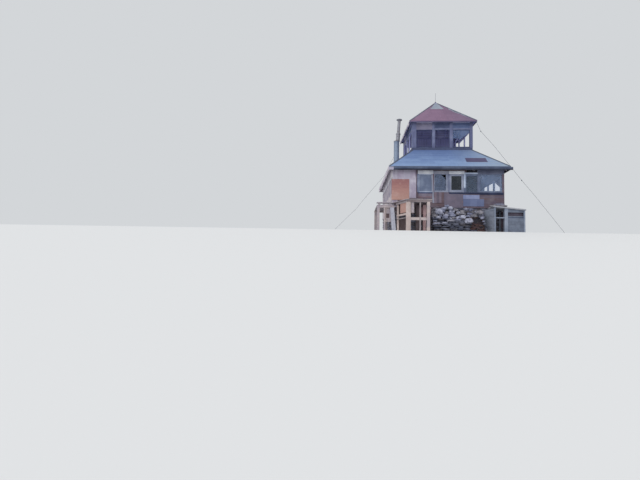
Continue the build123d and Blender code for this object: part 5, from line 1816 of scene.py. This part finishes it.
@dataclass
class TimberBin:
    """The lean-to bin at the right front corner."""

    left: float = 2.61
    wide: float = 1.89
    out: float = 1.08
    top: float = 1.74
    fall: float = 0.2
    post: float = 0.09
    main: float = 0.2
    lid: float = 0.08
    side_run: float = 0.26
    side_high: float = 1.6
    main_share: float = 0.388
    back: float = -3.62
    levels: tuple[float, ...] = (0.0, 0.18, 0.37, 0.55, 0.74, 0.975, 1.035, 1.11)
    sunk: float = 0.975
    inset: float = 0.02
    board: float = 0.025
    end_step: float = 0.16
    back_from: float = 3.42
    back_step: float = 0.099

    def lid_under(self, x: float) -> float:
        """The lid's underside at a place along the bin."""
        return self.top - self.fall * (x - self.left) / self.wide - self.lid

    def build(self) -> None:
        """Builds the posts, panels and lid."""
        frame = Carcass(121)
        right, back = self.left + self.wide, self.back
        front = back - self.out
        middle = self.left + self.wide * self.main_share
        posts = [(self.left + self.post / 2, self.post), (middle, self.main), (right - self.post / 2, self.post)]
        for x, size in posts:
            self.upright(frame, x, front + size / 2, size)
            self.upright(frame, x, back - self.post / 2, self.post)
        frame.board((self.left, front + self.inset, 0.95), (middle, front + 0.11, 1.02), "x")
        frame.piece("bin_timbers", [BIN_POSTS], ["bin_frame"], 0.006)
        panels = Carcass(123)
        x0, x1 = middle + self.main / 2, right - self.post
        y0, y1 = front + self.inset, front + self.inset + self.board
        # The sunk board, set back, takes the dark edge paint: painted shade in its recess
        for low, high in pairwise(self.levels):
            sunk = low == self.sunk
            panels.board((x0, y0 + 0.012 * sunk, low + 0.001), (x1, y1, high - 0.002), "x", paint=4 if sunk else 0)
        roof = [(x0, y0, 1.33), (x1, y0, 1.33), (x1, y0, self.lid_under(x1)), (x0, y0, self.lid_under(x0))]
        panels.prism(roof, (0, self.board, 0), (1, 0, 0))
        ex0, ex1 = right - self.inset - self.board, right - self.inset
        for i in range(9):
            low = i * self.end_step
            high = min(low + self.end_step - 0.005, self.lid_under(ex1))
            panels.board((ex0, front + self.post, low), (ex1, back - self.post, high), "y")
        for i in range(10):
            bx0, bx1 = self.back_from + i * self.back_step, self.back_from + (i + 1) * self.back_step
            panels.board((bx0, back - self.board, 0), (bx1 - 0.003, back, self.lid_under(bx1)), "z", paint=1)
        slope = (self.out - self.inset) / self.side_run
        across = self.board * math.hypot(1, slope) / slope
        wing = [(self.left - self.side_run, back), (self.left - self.side_run + across, back)]
        wing += [(self.left, back - (self.side_run - across) * slope), (self.left, y0)]
        step = self.side_high / 10
        for i in range(10):
            low, high = i * step, (i + 1) * step - panels.rng.choice((0.002, 0.003, 0.006))
            panels.prism([(x, y, low) for x, y in wing], (0, 0, high - low), (0.24, -0.97, 0), paint=2)
        # A dark board just behind the slot: painted shade inside the bin
        panels.board((x0, y1 + 0.1, 1.0), (x1, y1 + 0.12, 1.4), "x", paint=3)
        finishes = [BIN_BOARDS, BROWN_BOARDS, WING_BOARDS, SLOT_SHADE_BOARD, EAVE_BOARDS]
        panels.piece("bin_planks", finishes, ["bin_panels"], 0.003)
        self.cover(front, back, right)

    def upright(self, frame: Carcass, x: float, y: float, size: float) -> None:
        """Adds a post whose head follows the lid.

        Args:
            frame: The mesh that it goes in.
            x: Its middle along the bin.
            y: Its middle across the bin.
            size: Its thickness.
        """
        y -= size / 2
        x0, x1 = x - size / 2, x + size / 2
        outline = [(x0, y, 0.0), (x1, y, 0.0), (x1, y, self.lid_under(x1)), (x0, y, self.lid_under(x0))]
        frame.prism(outline, (0, size, 0), (0, 0, 1))

    def cover(self, front: float, back: float, right: float) -> None:
        """The sloping lid of planks.

        Args:
            front: How far forward the bin reaches.
            back: Where it meets the wall.
            right: Its right end.
        """
        lid = Carcass(125)
        over = 0.05
        y = front - over
        while y < back - 0.01:
            end = min(y + lid.rng.uniform(0.14, 0.2), back)
            x0, x1 = self.left - over + lid.rng.uniform(0, 0.02), right + over - lid.rng.uniform(0, 0.02)
            z0, z1 = self.lid_under(x0), self.lid_under(x1)
            outline = [(x0, y, z0), (x1, y, z1), (x1, y, z1 + self.lid), (x0, y, z0 + self.lid)]
            lid.prism(outline, (0, end - y - 0.006, 0), (1, 0, 0))
            y = end
        lid.piece("bin_cover", [LID_BOARDS], ["bin_lid"], 0.003)
        weight = Carcass(127)
        x, lid_top = self.left + 0.42, self.top - 0.03
        for dx, dz, wide, high in ((-0.06, 0.06, 1.1, 0.2), (-0.02, 0.12, 0.72, 0.2), (0.0, 0.17, 0.36, 0.15)):
            weight.stone((x + dx, front + 0.3, lid_top + dz), (wide, 0.4, high), fine=2, square=0.45)
        weight.piece("lid_stone", [BLOCKS])


@dataclass
class Studio:
    """The floor, the light and the photograph's camera."""

    focal: float = 373.248
    eye: tuple[float, float, float] = (-6.640, -28.363, -2.176)
    yaw: float = -4.252
    pitch: float = 3.634
    roll: float = 1.278
    crest: float = -4.75
    fall: float = 9.0
    reach: float = 90.0
    half_wide: float = 110.0
    picture_wide: int = 640
    sky: float = 0.8
    soft: float = 50.0
    lamp_rows: tuple[tuple[str, float, float, float], ...] = (("key_lamp", 0.95, 50, -38), ("fill_lamp", 0.35, 60, 40))

    def build(self) -> None:
        """Builds the stage, the lamps and the camera."""
        self.floor()
        self.lamps()
        self.camera()

    def floor(self) -> None:
        """A flat floor that falls away in front, because the camera stands below the ground."""
        ground = bmesh.new()
        rows = [(self.reach, 0.0), (self.crest, 0.0)]
        for i in range(1, 9):
            bend = math.radians(self.fall) * i / 8
            y, z = rows[-1]
            rows.append((y - 0.12 * math.cos(bend), z - 0.12 * math.sin(bend)))
        y, z = rows[-1]
        rows.append((y - self.reach, z - self.reach * math.tan(math.radians(self.fall))))
        lines = [[ground.verts.new((x, y, z)) for x in (-self.half_wide, self.half_wide)] for y, z in rows]
        for a, b in pairwise(lines):
            ground.faces.new((a[0], b[0], b[1], a[1])).smooth = True
        data = bpy.data.meshes.new("studio_floor")
        ground.to_mesh(data)
        ground.free()
        data.materials.append(STUDIO.material())
        floor = bpy.data.objects.new("studio_floor", data)
        bpy.context.scene.collection.objects.link(floor)

    def lamps(self) -> None:
        """A pale sky all round and two wide soft lamps, the stronger one from the left."""
        world = bpy.data.worlds.new("studio_sky")
        bpy.context.scene.world = world
        world.use_nodes = True
        tree = world.node_tree
        tree.nodes.clear()
        rays = add(tree, "LightPath").outputs
        seen = rays["Is Camera Ray"]
        for other in ("Is Transmission Ray", "Is Glossy Ray"):
            seen = add(tree, "Math", {"operation": "MAXIMUM"}, {0: seen, 1: rays[other]})
        light = add(tree, "Background", {"Color": "ffffff", "Strength": self.sky})
        shown = add(tree, "Background", {"Color": "d3d6d9", "Strength": 1.0})
        both = add(tree, "MixShader", None, {0: seen, 1: light, 2: shown})
        add(tree, "OutputWorld", None, {"Surface": both})
        for name, energy, angle, turn in self.lamp_rows:
            lamp = bpy.data.objects.new(name, bpy.data.lights.new(name, "SUN"))
            lamp.data.energy = energy
            lamp.data.angle = math.radians(self.soft)
            lamp.rotation_euler = (math.radians(angle), 0.0, math.radians(turn))
            bpy.context.scene.collection.objects.link(lamp)
        bpy.context.scene.view_settings.view_transform = "Standard"

    def camera(self) -> None:
        """The camera as fitted to the photograph's own lines."""
        yaw, pitch, roll = (math.radians(v) for v in (self.yaw, self.pitch, self.roll))
        ahead = Vector((math.sin(yaw) * math.cos(pitch), math.cos(yaw) * math.cos(pitch), math.sin(pitch)))
        right = Vector((math.cos(yaw), -math.sin(yaw), 0.0))
        up = right.cross(ahead)
        level = right * math.cos(roll) + up * math.sin(roll)
        top = up * math.cos(roll) - right * math.sin(roll)
        turn = Matrix((level, top, -ahead)).transposed().to_4x4()
        turn.translation = Vector(self.eye)
        eye = bpy.data.objects.new("photo_camera", bpy.data.cameras.new("photo_camera"))
        eye.data.sensor_width = 36.0
        eye.data.lens = self.focal / self.picture_wide * eye.data.sensor_width
        eye.matrix_world = turn
        bpy.context.scene.collection.objects.link(eye)
        bpy.context.scene.camera = eye


def corners(pair: tuple[Vector, Vector]) -> list[list[float]]:
    """A box's two corners as plain lists."""
    return [list(pair[0]), list(pair[1])]


def main() -> None:
    """Builds and dresses the whole lookout."""
    logging.basicConfig(level=logging.INFO, format="%(name)s: %(message)s")
    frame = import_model()
    Studio().build()
    StoneBase().build()
    walls = CabinWalls()
    walls.build()
    CabinWindows(walls).build(frame)
    NailedFront(walls).build()
    dress(frame, FLOOR_BOARDS, "cabin_floor", "floor_joists")
    RoofCovers().build(frame)
    Cupola().build(frame)
    Chimney().build(frame)
    Landing().build()
    Platform().build()
    TimberBin().build()
    dress(frame, STEEL_WIRE, "guy_cables")
    dress(frame, CONCRETE, "guy_anchors", bevel=0.02)
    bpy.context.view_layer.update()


if __name__ == "__main__":
    main()
